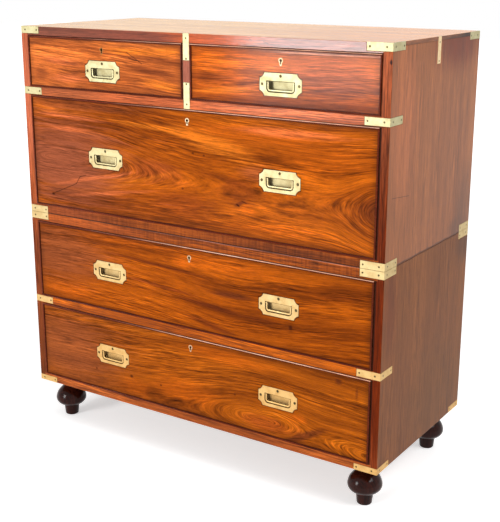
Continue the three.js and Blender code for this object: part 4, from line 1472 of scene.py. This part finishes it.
def screw_tree():
    """Sets a slotted head at each point, looking the way the point's facing says."""
    tree = bpy.data.node_groups.new("screws", "GeometryNodeTree")

    def add_input(label, kind, value=None):
        socket = tree.interface.new_socket(label, in_out="INPUT", socket_type=kind)
        if value is not None:
            socket.default_value = value

    add_input("Geometry", "NodeSocketGeometry")
    add_input("Head Radius", "NodeSocketFloat", head_radius)
    add_input("Head Depth", "NodeSocketFloat", head_depth)
    add_input("Slot Width", "NodeSocketFloat", slot_width)
    add_input("Slot Depth", "NodeSocketFloat", slot_depth)
    add_input("Seed", "NodeSocketInt", screw_seed)
    add_input("Material", "NodeSocketMaterial")
    tree.interface.new_socket("Geometry", in_out="OUTPUT", socket_type="NodeSocketGeometry")
    given = tree.nodes.new("NodeGroupInput").outputs

    def times(value, factor):
        return calc(tree, "MULTIPLY", value, factor)

    head = put(tree, "GeometryNodeMeshCone", {
        "Vertices": head_steps, "Radius Top": given["Head Radius"], "Depth": given["Head Depth"],
        "Radius Bottom": times(given["Head Radius"], shank_share),
    }).outputs["Mesh"]
    drop = joined(tree, 0.0, 0.0, times(given["Head Depth"], -1.0))
    sunk = put(tree, "GeometryNodeTransform", {"Geometry": head, "Translation": drop}).outputs[0]
    slot_length = times(given["Head Radius"], slot_length_share)
    slot_size = joined(tree, slot_length, given["Slot Width"], times(given["Slot Depth"], 2.0))
    cutter = put(tree, "GeometryNodeMeshCube", {"Size": slot_size}).outputs["Mesh"]
    feeds = {"Mesh 1": sunk, "Mesh 2": cutter}
    slotted = put(tree, "GeometryNodeMeshBoolean", feeds, operation="DIFFERENCE").outputs["Mesh"]
    facing = put(tree, "GeometryNodeInputNamedAttribute", {"Name": "facing"}, data_type="FLOAT_VECTOR")
    aimed = put(tree, "FunctionNodeAlignRotationToVector", {"Vector": facing.outputs["Attribute"]}, axis="Z")
    feeds = {"Min": 0.0, "Max": math.pi, "Seed": given["Seed"]}
    chance = put(tree, "FunctionNodeRandomValue", feeds, data_type="FLOAT")
    angle = [socket for socket in chance.outputs if socket.enabled][0]
    feeds = {"Axis": (0.0, 0.0, 1.0), "Angle": angle}
    spin = put(tree, "FunctionNodeAxisAngleToRotation", feeds).outputs[0]
    feeds = {0: aimed.outputs["Rotation"], 1: spin}
    turned = put(tree, "FunctionNodeRotateRotation", feeds, rotation_space="LOCAL").outputs[0]
    size = put(tree, "GeometryNodeInputNamedAttribute", {"Name": "size"}, data_type="FLOAT")
    feeds = {
        "Points": given["Geometry"], "Instance": slotted, "Rotation": turned,
        "Scale": size.outputs["Attribute"],
    }
    set_down = put(tree, "GeometryNodeInstanceOnPoints", feeds).outputs[0]
    real = put(tree, "GeometryNodeRealizeInstances", {0: set_down}).outputs[0]
    feeds = {"Geometry": real, "Material": given["Material"]}
    put(tree, "NodeGroupOutput", {0: put(tree, "GeometryNodeSetMaterial", feeds).outputs[0]})
    return tree


screw_nodes = screw_tree()
screw_sockets = {
    item.name: item.identifier for item in screw_nodes.interface.items_tree if item.in_out == "INPUT"
}
for body, spots in screw_spots.items():
    points = bpy.data.meshes.new(f"{body}_screw_points")
    points.from_pydata([place - outward * head_sunk for place, outward, _ in spots], [], [])
    points.attributes.new("facing", "FLOAT_VECTOR", "POINT")
    points.attributes.new("size", "FLOAT", "POINT")
    for index, (_, outward, size) in enumerate(spots):
        points.attributes["facing"].data[index].vector = outward
        points.attributes["size"].data[index].value = size
    holder = placed(f"{body}_screw_points", points)
    maker = holder.modifiers.new("screws", "NODES")
    maker.node_group = screw_nodes
    maker[screw_sockets["Material"]] = screw_brass
    made = bpy.data.meshes.new_from_object(holder.evaluated_get(bpy.context.evaluated_depsgraph_get()))
    made.name = f"{body}_screws"
    bpy.data.objects.remove(holder)
    screws = placed(made.name, made)
    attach(screws, body)
